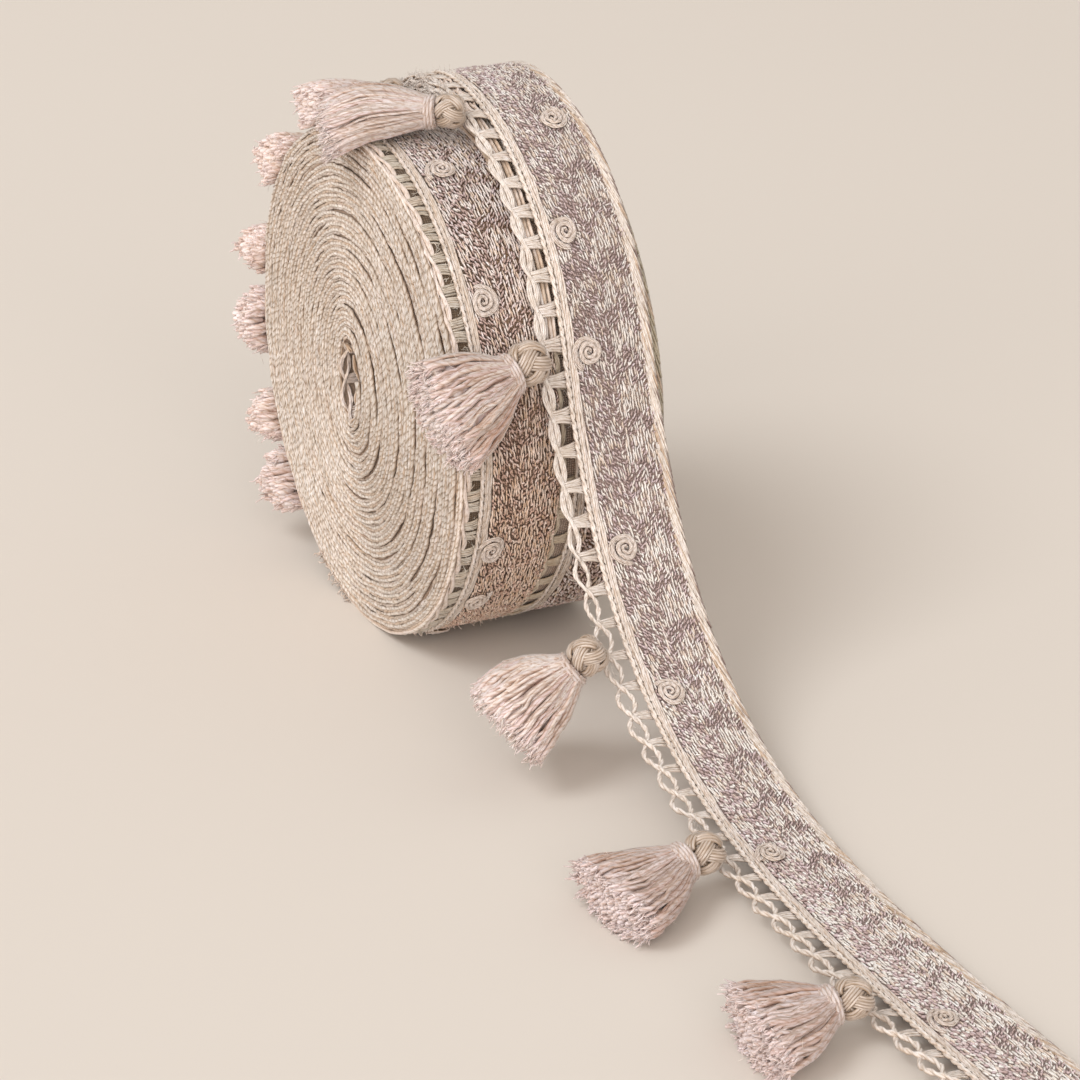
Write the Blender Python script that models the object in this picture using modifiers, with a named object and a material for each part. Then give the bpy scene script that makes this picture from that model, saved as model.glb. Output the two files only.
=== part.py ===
"""Roll of tassel fringe: a wound roll of trimming with one loose end.

Metres, +Z up. The roll stands on its rim like a wheel, its axle along X.
The loose end leaves the front of the roll and runs out along -Y on the
surface. The origin is on the surface under the middle of the roll.
"""
import math

import bpy
from mathutils import Matrix, Vector

for stale in list(bpy.data.objects):
    bpy.data.objects.remove(stale, do_unlink=True)

MM = 0.001

# ---- roll ------------------------------------------------------------
ROLL_WIDTH = 50.0          # two lanes of trimming side by side
LANE_EDGE = 25.0           # where the second lane starts
ROLL_CENTRE_Z = 60.0       # axle height above the surface
LANE1_RADIUS = 60.3        # a little over the axle height: the small flat spot
EYE_CENTRE = (4.6, 58.2)   # y, z of the open eye
EYE_HALF = (5.4, 9.7)      # its half width and half height
RIM_SOFT = 1.1             # rounding of the two rims
ROLL_STEP = 118.7          # angle of the step where the last turn comes free

# ---- trimming --------------------------------------------------------
BRAID_WIDTH = 21.6         # edge cord and braid together
BRAID_THICK = 2.2
CORD_RADIUS = 1.05
CORD_PLACE = 1.15          # cord centre from the braid's left edge
BRAID_START = 2.45         # braid cloth starts beside the cord
EDGING_WIDTH = 6.5
EDGING_THICK = 1.6
RAIL_OUTER = 1.8           # outer cord of the ladder
RAIL_INNER = 1.3           # inner cord of the ladder
RUNG_PITCH = 7.85
RUNG_WIDTH = 2.65
FIRST_HOLE = 50.40         # centre of a ladder hole, along the loose end

# Radius of the second lane's outer turn, from the step backwards round the
# roll and on under the loose end. Columns: angle, radius. Angle 0 is the
# front (-Y) of the roll, 90 its top, 180 its back, 270 its foot.
LANE2_ROWS = (
    (119, 68.3), (135, 66.8), (155, 64.9), (180, 63.2), (210, 61.6),
    (240, 60.6), (270, 60.3), (300, 60.2), (330, 59.9), (360, 59.6),
    (385, 59.7), (397, 60.1), (410, 60.9), (424, 62.1), (438, 63.4),
    (451, 65.1), (464, 66.4), (478, 65.5),
)

# The loose end's visible face. Columns: y, z of its middle line, x of the
# braid's left edge from the roll's left face, bank (left edge up, degrees).
DRAPE_ROWS = (
    (32.1, 120.3, 29.7, 0.0),
    (16.7, 127.1, 29.2, 0.0),
    (1.2, 127.9, 28.7, 0.0),
    (-13.8, 124.8, 28.3, 0.0),
    (-28.5, 118.3, 27.8, 0.0),
    (-40.9, 108.8, 27.3, 0.0),
    (-50.2, 97.9, 26.9, 0.0),
    (-56.6, 86.4, 26.4, 0.0),
    (-59.6, 78.5, 26.1, 0.0),
    (-64.8, 66.3, 25.7, 0.0),
    (-70.8, 54.6, 25.3, 0.7),
    (-77.9, 43.4, 24.9, 1.5),
    (-86.0, 33.4, 24.5, 2.2),
    (-95.8, 24.4, 24.1, 3.0),
    (-107.1, 17.0, 23.5, 3.6),
    (-119.4, 11.6, 22.9, 4.2),
    (-132.0, 7.9, 22.3, 4.6),
    (-145.4, 5.5, 21.6, 5.0),
    (-159.2, 4.2, 20.9, 5.0),
    (-173.0, 3.6, 20.4, 5.0),
    (-187.0, 3.4, 20.0, 5.0),
    (-201.0, 3.3, 19.8, 5.0),
    (-216.0, 3.3, 19.8, 5.0),
    (-231.0, 3.3, 20.0, 5.0),
    (-246.0, 3.3, 20.4, 5.0),
    (-261.0, 3.3, 21.2, 5.0),
)

# ---- tassels ---------------------------------------------------------
HEAD_RADIUS = {"01": 3.7, "02": 4.5, "03": 4.1, "04": 4.1, "05": 3.8}
PLAIN_HEAD = 3.7
NECK_RADIUS = 3.1
NECK_GAP = 0.35

# Tassels lying on the roll. Columns: head x, angle, radius; how far the
# skirt end stands out past the left face, its angle and radius; half width
# and half thickness of the skirt end.
ROLL_TASSELS = (
    ("01", 18.7, 78.6, 68.0, 5.5, 92.0, 64.0, 11.2, 5.6),
    ("02", 15.5, 20.3, 65.8, 9.0, 12.4, 67.2, 12.8, 5.4),
    ("06", 19.6, 111.0, 65.2, 5.0, 113.0, 65.2, 9.0, 4.4),
    ("07", 19.6, 142.0, 65.0, 5.5, 142.5, 64.6, 8.6, 4.2),
    ("08", 19.6, 167.5, 65.0, 6.0, 168.0, 65.0, 6.4, 4.2),
    ("09", 19.6, 185.0, 65.0, 7.5, 185.0, 66.0, 9.2, 4.8),
    ("10", 19.6, 205.5, 65.0, 7.0, 206.0, 66.4, 6.8, 4.4),
    ("11", 19.6, 221.0, 65.2, 8.0, 220.5, 67.4, 9.0, 5.2),
)

# Tassels on the loose end. Columns: head x, y, z; skirt end x, y, z; half
# width and half thickness of the skirt end; height of its middle above the
# straight line from head to end.
FREE_TASSELS = (
    ("03", 12.2, -98.4, 28.9, -5.4, -93.6, 13.4, 12.3, 10.0, 1.2),
    ("04", 10.1, -155.8, 10.1, -13.8, -159.0, 6.2, 13.4, 5.9, -0.6),
    ("05", 9.6, -215.8, 9.5, -11.6, -213.6, 6.2, 13.4, 5.9, -0.4),
)

# ---- rosettes --------------------------------------------------------
ROSETTE_RADIUS = 3.3
ROSETTE_THICK = 1.3
# On the loose end. Columns: distance along it, distance in from the
# braid's left edge.
FREE_ROSETTES = (
    ("01", 53.0, 13.5), ("02", 84.5, 5.3), ("03", 111.9, 5.3),
    ("04", 156.3, 6.0), ("05", 191.5, 5.3), ("06", 244.4, 5.3),
    ("07", 312.0, 6.0),
)
# On the first lane of the roll. Columns: x from the left face, angle.
ROLL_ROSETTES = (
    ("08", 12.3, 68.0), ("09", 10.0, 34.2), ("10", 8.7, -21.6),
    ("11", 9.3, -39.9), ("12", 10.5, 247.0), ("13", 10.0, 292.0),
)

COLOURS = {
    "coil": (0.62, 0.54, 0.45, 1.0),
    "braid": (0.41, 0.34, 0.33, 1.0),
    "cord": (0.74, 0.69, 0.60, 1.0),
    "head": (0.60, 0.51, 0.42, 1.0),
    "skirt": (0.66, 0.51, 0.45, 1.0),
    "rosette": (0.55, 0.48, 0.43, 1.0),
}


def material(name, kind, roughness=0.9):
    mat = bpy.data.materials.new(name)
    mat.use_nodes = True
    bsdf = mat.node_tree.nodes["Principled BSDF"]
    bsdf.inputs["Base Color"].default_value = COLOURS[kind]
    bsdf.inputs["Roughness"].default_value = roughness
    bsdf.inputs["Metallic"].default_value = 0.0
    mat.diffuse_color = COLOURS[kind]
    return mat


collection = bpy.data.collections.new("tassel_fringe_roll")
bpy.context.scene.collection.children.link(collection)


def place(x, y, z):
    """Point given in mm, x from the roll's left face, as a row position."""
    return Vector(((x - ROLL_WIDTH / 2) * MM, y * MM, z * MM))


def finish(name, mesh, kind, smooth=True):
    obj = bpy.data.objects.new(name, mesh)
    collection.objects.link(obj)
    mesh.materials.append(material(name, kind))
    if smooth:
        for poly in mesh.polygons:
            poly.use_smooth = True
    return obj


def catmull(rows, parts):
    """Smooth rows of numbers, `parts` samples from each row to the next."""
    first = [2 * a - b for a, b in zip(rows[0], rows[1])]
    last = [2 * a - b for a, b in zip(rows[-1], rows[-2])]
    pts = [first] + [list(r) for r in rows] + [last]
    out = []
    for i in range(1, len(pts) - 2):
        for k in range(parts):
            t = k / parts
            out.append([
                0.5 * (2 * b + (c - a) * t + (2 * a - 5 * b + 4 * c - d) * t * t
                       + (3 * b - a - 3 * c + d) * t ** 3)
                for a, b, c, d in zip(pts[i - 1], pts[i], pts[i + 1], pts[i + 2])])
    out.append(list(rows[-1]))
    return out


# ---- the loose end's path --------------------------------------------
class Drape:
    """Reads places on the loose end: along it, across it, out from it."""

    def __init__(self, rows):
        self.rows = catmull(rows, 10)
        self.dist = [0.0]
        for a, b in zip(self.rows, self.rows[1:]):
            self.dist.append(self.dist[-1] + math.hypot(b[0] - a[0], b[1] - a[1]))
        self.length = self.dist[-1]

    def row(self, s):
        s = min(max(s, 0.0), self.length)
        i = 0
        while i < len(self.dist) - 2 and self.dist[i + 1] < s:
            i += 1
        t = (s - self.dist[i]) / (self.dist[i + 1] - self.dist[i])
        a, b = self.rows[i], self.rows[i + 1]
        return [p + (q - p) * t for p, q in zip(a, b)]

    def frame(self, s):
        lo, hi = self.row(s - 1.5), self.row(s + 1.5)
        y, z, left, bank = self.row(s)
        along = Vector((0.0, hi[0] - lo[0], hi[1] - lo[1])).normalized()
        out = Vector((0.0, along.z, -along.y))
        tip = math.radians(bank)
        across = Vector((math.cos(tip), 0, 0)) - out * math.sin(tip)
        up = out * math.cos(tip) + Vector((math.sin(tip), 0, 0))
        middle = Vector((left + BRAID_WIDTH / 2, y, z))
        return middle, along, across, up

    def at(self, s, u, n=0.0):
        """s mm along, u mm in from the braid's left edge, n mm outwards."""
        middle, _, across, up = self.frame(s)
        return middle + across * (u - BRAID_WIDTH / 2) + up * n


drape = Drape(DRAPE_ROWS)


def on_roll(x, angle, radius):
    a = math.radians(angle)
    return Vector((x, -radius * math.cos(a), ROLL_CENTRE_Z + radius * math.sin(a)))


# ---- roll ------------------------------------------------------------
def flat_foot(angle, radius):
    """Cuts the radius back where the roll rests flat on the surface."""
    s = -math.sin(math.radians(angle))
    return min(radius, ROLL_CENTRE_Z / s) if s > 0.2 else radius


def lane2_radius(angle):
    while angle < LANE2_ROWS[0][0]:
        angle += 360.0
    rows = catmull(LANE2_ROWS, 6)
    for a, b in zip(rows, rows[1:]):
        if a[0] <= angle <= b[0]:
            return a[1] + (b[1] - a[1]) * (angle - a[0]) / (b[0] - a[0])
    return rows[-1][1]


def roll_coil():
    foot = math.degrees(math.asin(ROLL_CENTRE_Z / LANE1_RADIUS))
    step_low, step_high = ROLL_STEP - 0.15, ROLL_STEP + 0.15
    angles = [a * 360.0 / 68 for a in range(68)]
    angles = [a for a in angles if abs(a - ROLL_STEP) > 1.5]
    angles = [a for a in angles if min(abs(a - 180 - foot), abs(a - 360 + foot)) > 1.2]
    angles += [step_low, step_high, 180 + foot, 360 - foot]
    angles.sort()
    verts, faces = [], []
    for angle in angles:
        a = math.radians(angle)
        r1 = flat_foot(angle, LANE1_RADIUS)
        r2 = 65.4 if angle == step_low else lane2_radius(
            LANE2_ROWS[0][0] if angle == step_high else angle)
        r2 = flat_foot(angle, r2)
        right = ROLL_WIDTH + 0.7 * math.sin(a)
        eye_y = EYE_CENTRE[0] - EYE_HALF[0] * math.cos(a)
        eye_z = EYE_CENTRE[1] + EYE_HALF[1] * math.sin(a)

        def spot(x, share, radius):
            y = eye_y + (-radius * math.cos(a) - eye_y) * share
            z = eye_z + (ROLL_CENTRE_Z + radius * math.sin(a) - eye_z) * share
            return place(x, y, z)

        wave = 0.35 * math.sin(3 * a)
        step_x = 0.45 if r2 - r1 >= 0 else -0.45
        ring = [
            spot(0.6, 0.0, r1), spot(-0.2 + wave * 0.5, 0.06, r1),
            spot(0.3 + wave, 0.30, r1), spot(0.1 - wave * 0.6, 0.62, r1),
            spot(0.0, 1.0 - RIM_SOFT / 55, r1), spot(RIM_SOFT, 1.0, r1),
            spot(LANE_EDGE / 2, 1.0, r1),
            spot(LANE_EDGE - step_x, 1.0, r1), spot(LANE_EDGE + step_x, 1.0, r2),
            spot((LANE_EDGE + right) / 2, 1.0, r2),
            spot(right - RIM_SOFT, 1.0, r2), spot(right, 1.0 - RIM_SOFT / 55, r2),
            spot(right - 0.2, 0.62, r2), spot(right - 0.1 + wave, 0.30, r2),
            spot(right + 0.1, 0.06, r2), spot(right - 0.6, 0.0, r2),
        ]
        verts.append(ring)
    count, size = len(verts), len(verts[0])
    flat = [v for ring in verts for v in ring]
    for i in range(count):
        j = (i + 1) % count
        for k in range(size):
            m = (k + 1) % size
            faces.append((i * size + k, i * size + m, j * size + m, j * size + k))
    mesh = bpy.data.meshes.new("roll_coil")
    mesh.from_pydata(flat, [], faces)
    mesh.update()
    face_out(mesh)
    return finish("roll_coil", mesh, "coil")


def face_out(mesh):
    import bmesh
    bm = bmesh.new()
    bm.from_mesh(mesh)
    bmesh.ops.recalc_face_normals(bm, faces=bm.faces)
    if bm.calc_volume(signed=True) < 0:
        bmesh.ops.reverse_faces(bm, faces=bm.faces)
    bm.to_mesh(mesh)
    bm.free()


# ---- loose end -------------------------------------------------------
def sheet(name, stations, edges, thick, kind, keep=None):
    """Cloth on the loose end's path: an open surface thickened inwards."""
    verts = [place(*drape.at(s, u)) for s in stations for u in edges]
    n = len(edges)
    faces = []
    for i in range(len(stations) - 1):
        for k in range(n - 1):
            if keep is None or keep(i, k):
                faces.append((i * n + k, i * n + k + 1,
                              (i + 1) * n + k + 1, (i + 1) * n + k))
    mesh = bpy.data.meshes.new(name)
    mesh.from_pydata(verts, [], faces)
    mesh.update()
    import bmesh
    bm = bmesh.new()
    bm.from_mesh(mesh)
    loose = [v for v in bm.verts if not v.link_faces]
    bmesh.ops.delete(bm, geom=loose, context="VERTS")
    bm.normal_update()
    bm.faces.ensure_lookup_table()
    top = max(bm.faces, key=lambda f: f.calc_center_median().z)
    if top.normal.z < 0:
        bmesh.ops.reverse_faces(bm, faces=bm.faces)
    bm.to_mesh(mesh)
    bm.free()
    obj = finish(name, mesh, kind)
    solid = obj.modifiers.new("cloth thickness", "SOLIDIFY")
    solid.thickness = thick * MM
    solid.offset = -1.0
    solid.use_even_offset = False
    return obj


def loose_braid():
    count = 80
    stations = [drape.length * i / count for i in range(count + 1)]
    width = BRAID_WIDTH - BRAID_START
    edges = [BRAID_START + width * k / 2 for k in range(3)]
    return sheet("loose_braid", stations, edges, BRAID_THICK, "braid")


def loose_edging():
    """The ladder: an outer cord, an inner cord and the rungs between."""
    stations, holes = [0.0], []
    hole = RUNG_PITCH - RUNG_WIDTH
    s = FIRST_HOLE
    while s - hole / 2 > 4.0:
        s -= RUNG_PITCH
    if s - hole / 2 < 1.0:
        s += RUNG_PITCH
    while s + hole / 2 < drape.length - 1.5:
        holes.append(len(stations))
        stations += [s - hole / 2, s + hole / 2]
        s += RUNG_PITCH
    stations.append(drape.length)
    edges = [-EDGING_WIDTH, RAIL_OUTER - EDGING_WIDTH, -0.25 - RAIL_INNER, -0.25]
    return sheet("loose_edging", stations, edges, EDGING_THICK, "cord",
                 keep=lambda i, k: not (k == 1 and i in holes))


def loose_cord():
    count = 60
    curve = bpy.data.curves.new("loose_cord", "CURVE")
    curve.dimensions = "3D"
    curve.bevel_depth = CORD_RADIUS * MM
    curve.bevel_resolution = 2
    curve.use_fill_caps = True
    spline = curve.splines.new("POLY")
    spline.points.add(count)
    for i in range(count + 1):
        s = drape.length * i / count
        spot = place(*drape.at(s, CORD_PLACE, -CORD_RADIUS))
        spline.points[i].co = (*spot, 1.0)
    obj = bpy.data.objects.new("loose_cord", curve)
    collection.objects.link(obj)
    curve.materials.append(material("loose_cord", "cord"))
    return obj


# ---- tassels ---------------------------------------------------------
def head(number, centre):
    bpy.ops.mesh.primitive_uv_sphere_add(segments=10, ring_count=7,
                                         radius=HEAD_RADIUS.get(number, PLAIN_HEAD) * MM,
                                         location=place(*centre))
    obj = bpy.context.object
    obj.name = "tassel_head_" + number
    obj.data.name = obj.name
    for c in list(obj.users_collection):
        c.objects.unlink(obj)
    collection.objects.link(obj)
    obj.data.materials.append(material(obj.name, "head"))
    for poly in obj.data.polygons:
        poly.use_smooth = True
    return obj


# Columns: share of the skirt's length, share of the way from the neck's
# radius to the end's half width.
SKIRT_ROWS = (
    (0.00, 0.00), (0.09, 0.02), (0.16, 0.10), (0.28, 0.34), (0.44, 0.60),
    (0.62, 0.80), (0.80, 0.93), (0.93, 1.00), (1.00, 0.94),
)


def skirt(number, centre, end, wide, half_width, half_thick, belly):
    """Neck wrap and yarn skirt, lofted through oval rings with folds."""
    reach = HEAD_RADIUS.get(number, PLAIN_HEAD) + NECK_GAP
    start = centre + (end - centre).normalized() * reach
    axis = (end - start).normalized()
    wide = (wide - axis * wide.dot(axis)).normalized()
    thin = axis.cross(wide)
    if thin.dot(belly) < 0:
        thin = -thin
    sides = 14
    verts, faces = [], []
    lift = belly.length
    for share, grown in SKIRT_ROWS:
        mid = start + (end - start) * share
        if lift > 1e-6:
            mid = mid + belly * (4 * share * (1 - share))
        a = NECK_RADIUS + (half_width - NECK_RADIUS) * grown
        b = NECK_RADIUS + (half_thick - NECK_RADIUS) * grown
        for k in range(sides):
            t = 2 * math.pi * k / sides
            fold = 1 - 0.05 * grown * (0.5 + 0.5 * math.cos(5 * t + int(number)))
            verts.append(mid + wide * (a * fold * math.cos(t))
                         + thin * (b * fold * math.sin(t)))
    rings = len(SKIRT_ROWS)
    for i in range(rings - 1):
        for k in range(sides):
            m = (k + 1) % sides
            faces.append((i * sides + k, i * sides + m,
                          (i + 1) * sides + m, (i + 1) * sides + k))
    near = len(verts)
    verts.append(start)
    far = len(verts)
    verts.append(end + axis * 0.5)
    last = (rings - 1) * sides
    for k in range(sides):
        m = (k + 1) % sides
        faces.append((near, m, k))
        faces.append((far, last + k, last + m))
    mesh = bpy.data.meshes.new("tassel_skirt_" + number)
    mesh.from_pydata([place(*v) for v in verts], [], faces)
    mesh.update()
    face_out(mesh)
    return finish("tassel_skirt_" + number, mesh, "skirt")


def roll_tassels():
    for (number, head_x, head_angle, head_radius, out, end_angle, end_radius,
         half_width, half_thick) in ROLL_TASSELS:
        centre = on_roll(head_x, head_angle, head_radius)
        end = on_roll(-out, end_angle, end_radius)
        a = math.radians((head_angle + end_angle) / 2)
        round_way = Vector((0, math.sin(a), math.cos(a)))
        outward = Vector((0, -math.cos(a), math.sin(a)))
        head(number, centre)
        skirt(number, centre, end, round_way, half_width, half_thick, outward * 0.9)


def free_tassels():
    for (number, hx, hy, hz, ex, ey, ez, half_width, half_thick,
         lift) in FREE_TASSELS:
        centre, end = Vector((hx, hy, hz)), Vector((ex, ey, ez))
        along = end - centre
        wide = along.cross(Vector((0, 0, 1))).normalized()
        head(number, centre)
        skirt(number, centre, end, wide, half_width, half_thick,
              Vector((0, 0, lift if abs(lift) > 0 else 1e-3)))


# ---- rosettes --------------------------------------------------------
# Half section of a coil of cord, flattened. Columns: share of the radius,
# share of the thickness.
ROSETTE_ROWS = ((0.0, 0.0), (0.86, 0.0), (1.0, 0.35), (0.88, 0.85),
                (0.62, 1.0), (0.34, 0.86), (0.0, 0.95))


def rosette(number, centre, outward, round_way):
    name = "rosette_" + number
    mesh = bpy.data.meshes.new(name)
    verts = [(r * ROSETTE_RADIUS * MM, 0, h * ROSETTE_THICK * MM)
             for r, h in ROSETTE_ROWS]
    mesh.from_pydata(verts, [(i, i + 1) for i in range(len(verts) - 1)], [])
    mesh.update()
    obj = finish(name, mesh, "rosette", smooth=False)
    screw = obj.modifiers.new("turned", "SCREW")
    screw.axis = "Z"
    screw.steps = 9
    screw.render_steps = 9
    screw.use_merge_vertices = True
    screw.merge_threshold = 0.00001
    screw.use_normal_calculate = True
    screw.use_smooth_shade = True
    z = outward.normalized()
    x = (round_way - z * round_way.dot(z)).normalized()
    y = z.cross(x)
    turn = Matrix((x, y, z)).transposed().to_4x4()
    obj.matrix_world = Matrix.Translation(place(*centre)) @ turn
    return obj


def rosettes():
    for number, s, u in FREE_ROSETTES:
        _, along, _, up = drape.frame(s)
        rosette(number, drape.at(s, u, 0.35), up, along)
    for number, x, angle in ROLL_ROSETTES:
        a = math.radians(angle)
        outward = Vector((0, -math.cos(a), math.sin(a)))
        rosette(number, on_roll(x, angle, LANE1_RADIUS + 0.35), outward,
                Vector((0, math.sin(a), math.cos(a))))


roll_coil()
loose_braid()
loose_edging()
loose_cord()
roll_tassels()
free_tassels()
rosettes()
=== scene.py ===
import math

import bpy
import numpy as np
from mathutils import Matrix


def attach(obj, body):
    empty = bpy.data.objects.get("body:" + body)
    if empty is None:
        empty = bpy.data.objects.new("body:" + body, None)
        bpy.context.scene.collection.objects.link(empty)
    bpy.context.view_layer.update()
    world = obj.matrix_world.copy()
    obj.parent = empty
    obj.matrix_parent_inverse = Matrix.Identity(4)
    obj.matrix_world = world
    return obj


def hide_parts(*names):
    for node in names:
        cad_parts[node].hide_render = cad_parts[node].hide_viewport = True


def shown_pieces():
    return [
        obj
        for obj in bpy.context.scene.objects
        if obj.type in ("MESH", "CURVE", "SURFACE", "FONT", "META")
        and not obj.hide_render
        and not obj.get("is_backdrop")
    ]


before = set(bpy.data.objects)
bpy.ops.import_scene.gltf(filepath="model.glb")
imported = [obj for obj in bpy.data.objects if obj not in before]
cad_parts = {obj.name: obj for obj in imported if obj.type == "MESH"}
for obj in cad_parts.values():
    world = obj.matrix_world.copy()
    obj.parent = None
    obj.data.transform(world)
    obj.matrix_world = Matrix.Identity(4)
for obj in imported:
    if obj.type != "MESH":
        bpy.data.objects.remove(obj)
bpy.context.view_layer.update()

# Lengths below are millimetres, x from the roll's left (coil) face.
ROLL_WIDTH = 50.0
BRAID_WIDTH = 21.6
CENTRE_Z = 60.0
LANE1_RADIUS = 60.3
EYE_CENTRE = (4.6, 58.2)
EYE_HALF = (5.4, 9.7)
ROLL_STEP = 118.7
TURNS = 18
RUNG_PITCH = 7.85
FIRST_HOLE = 50.40

LANE2_ROWS = (
    (119, 68.3), (135, 66.8), (155, 64.9), (180, 63.2), (210, 61.6),
    (240, 60.6), (270, 60.3), (300, 60.2), (330, 59.9), (360, 59.6),
    (385, 59.7), (397, 60.1), (410, 60.9), (424, 62.1), (438, 63.4),
    (451, 65.1), (464, 66.4), (478, 65.5),
)
DRAPE_ROWS = (
    (32.1, 120.3, 29.7, 0.0), (16.7, 127.1, 29.2, 0.0),
    (1.2, 127.9, 28.7, 0.0), (-13.8, 124.8, 28.3, 0.0),
    (-28.5, 118.3, 27.8, 0.0), (-40.9, 108.8, 27.3, 0.0),
    (-50.2, 97.9, 26.9, 0.0), (-56.6, 86.4, 26.4, 0.0),
    (-59.6, 78.5, 26.1, 0.0), (-64.8, 66.3, 25.7, 0.0),
    (-70.8, 54.6, 25.3, 0.7), (-77.9, 43.4, 24.9, 1.5),
    (-86.0, 33.4, 24.5, 2.2), (-95.8, 24.4, 24.1, 3.0),
    (-107.1, 17.0, 23.5, 3.6), (-119.4, 11.6, 22.9, 4.2),
    (-132.0, 7.9, 22.3, 4.6), (-145.4, 5.5, 21.6, 5.0),
    (-159.2, 4.2, 20.9, 5.0), (-173.0, 3.6, 20.4, 5.0),
    (-187.0, 3.4, 20.0, 5.0), (-201.0, 3.3, 19.8, 5.0),
    (-216.0, 3.3, 19.8, 5.0), (-231.0, 3.3, 20.0, 5.0),
    (-246.0, 3.3, 20.4, 5.0), (-261.0, 3.3, 21.2, 5.0),
)
# number, head x, angle, radius; skirt end out past the face, angle, radius;
# half width, half thickness
ROLL_TASSELS = (
    ("01", 18.7, 78.6, 68.0, 5.5, 92.0, 64.0, 11.2, 5.6),
    ("02", 15.5, 20.3, 65.8, 9.0, 12.4, 67.2, 12.8, 5.4),
    ("06", 19.6, 111.0, 65.2, 5.0, 113.0, 65.2, 9.0, 4.4),
    ("07", 19.6, 142.0, 65.0, 5.5, 142.5, 64.6, 8.6, 4.2),
    ("08", 19.6, 167.5, 65.0, 6.0, 168.0, 65.0, 6.4, 4.2),
    ("09", 19.6, 185.0, 65.0, 7.5, 185.0, 66.0, 9.2, 4.8),
    ("10", 19.6, 205.5, 65.0, 7.0, 206.0, 66.4, 6.8, 4.4),
    ("11", 19.6, 221.0, 65.2, 8.0, 220.5, 67.4, 9.0, 5.2),
)
# number, head xyz, skirt end xyz, half width, half thickness, lift, and the
# place on the ladder it hangs from: along the loose end
FREE_TASSELS = (
    ("03", 12.2, -98.4, 28.9, -5.4, -93.6, 13.4, 12.3, 10.0, 1.2, 179.2),
    ("04", 10.1, -155.8, 10.1, -13.8, -159.0, 6.2, 13.4, 5.9, -0.6, 238.6),
    ("05", 9.6, -215.8, 9.5, -11.6, -213.6, 6.2, 13.4, 5.9, -0.4, 299.5),
)
HEAD_RADIUS = {"01": 3.8, "02": 4.75, "03": 4.2, "04": 4.3, "05": 3.95}
FREE_ROSETTES = (
    ("01", 53.0, 13.5), ("02", 84.5, 5.3), ("03", 111.9, 5.3),
    ("04", 156.3, 6.0), ("05", 191.5, 5.3), ("06", 244.4, 5.3),
    ("07", 312.0, 6.0),
)
ROLL_ROSETTES = (
    ("08", 12.3, 68.0), ("09", 10.0, 34.2), ("10", 8.7, -21.6),
    ("11", 9.3, -39.9), ("12", 10.5, 247.0), ("13", 10.0, 292.0),
)

rng = np.random.default_rng(11)


# ---- colour ----------------------------------------------------------
def srgb(*rgb):
    c = np.array(rgb, float) / 255.0
    return np.where(c <= 0.04045, c / 12.92, ((c + 0.055) / 1.055) ** 2.4)


CREAM = srgb(248, 232, 219)
OFF_WHITE = srgb(253, 245, 237)
TAN = srgb(223, 198, 173)
GREY_BEIGE = srgb(226, 213, 203)
OLIVE = srgb(214, 204, 188)
MAUVE = srgb(214, 191, 187)
MAUVE_DARK = srgb(181, 157, 150)
MAUVE_LIGHT = srgb(254, 246, 243)
BLUSH = srgb(229, 215, 210)
# deep blush: a deeper tone of the tassel yarn, used mostly as painted shade inside the skirts
BLUSH_DEEP_AND_SHADE = srgb(200, 160, 144)
PEACH = srgb(232, 213, 196)
HEAD = srgb(212, 195, 179)
CORE = srgb(214, 180, 150)


# shade between yarns turns browner as it deepens
WARM = np.array([1.0, 1.36, 1.85])
WARM_SKIRT = np.array([1.0, 1.58, 2.15])


def mix(a, b, t):
    t = np.asarray(t, float)[..., None]
    return a * (1 - t) + b * t


# ---- small maths -----------------------------------------------------
def unit(v):
    return v / np.maximum(np.linalg.norm(v, axis=-1, keepdims=True), 1e-9)


def wob(x, waves, seed, shape=()):
    """Smooth noise of x: a sum of sines. waves holds (wavelength, size)."""
    r = np.random.default_rng(seed)
    out = 0.0
    for length, size in waves:
        for k in (1.0, 0.618, 1.47):
            phase = r.uniform(0, 2 * np.pi, shape)
            if shape:
                phase = phase[..., None]
            out = out + size * 0.6 * np.sin(2 * np.pi * x * k / length + phase)
    return out


def catmull(rows, parts):
    first = [2 * a - b for a, b in zip(rows[0], rows[1])]
    last = [2 * a - b for a, b in zip(rows[-1], rows[-2])]
    pts = [first] + [list(r) for r in rows] + [last]
    out = []
    for i in range(1, len(pts) - 2):
        for k in range(parts):
            t = k / parts
            out.append([
                0.5 * (2 * b + (c - a) * t + (2 * a - 5 * b + 4 * c - d) * t * t
                       + (3 * b - a - 3 * c + d) * t ** 3)
                for a, b, c, d in zip(pts[i - 1], pts[i], pts[i + 1], pts[i + 2])])
    out.append(list(rows[-1]))
    return np.array(out)


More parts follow.
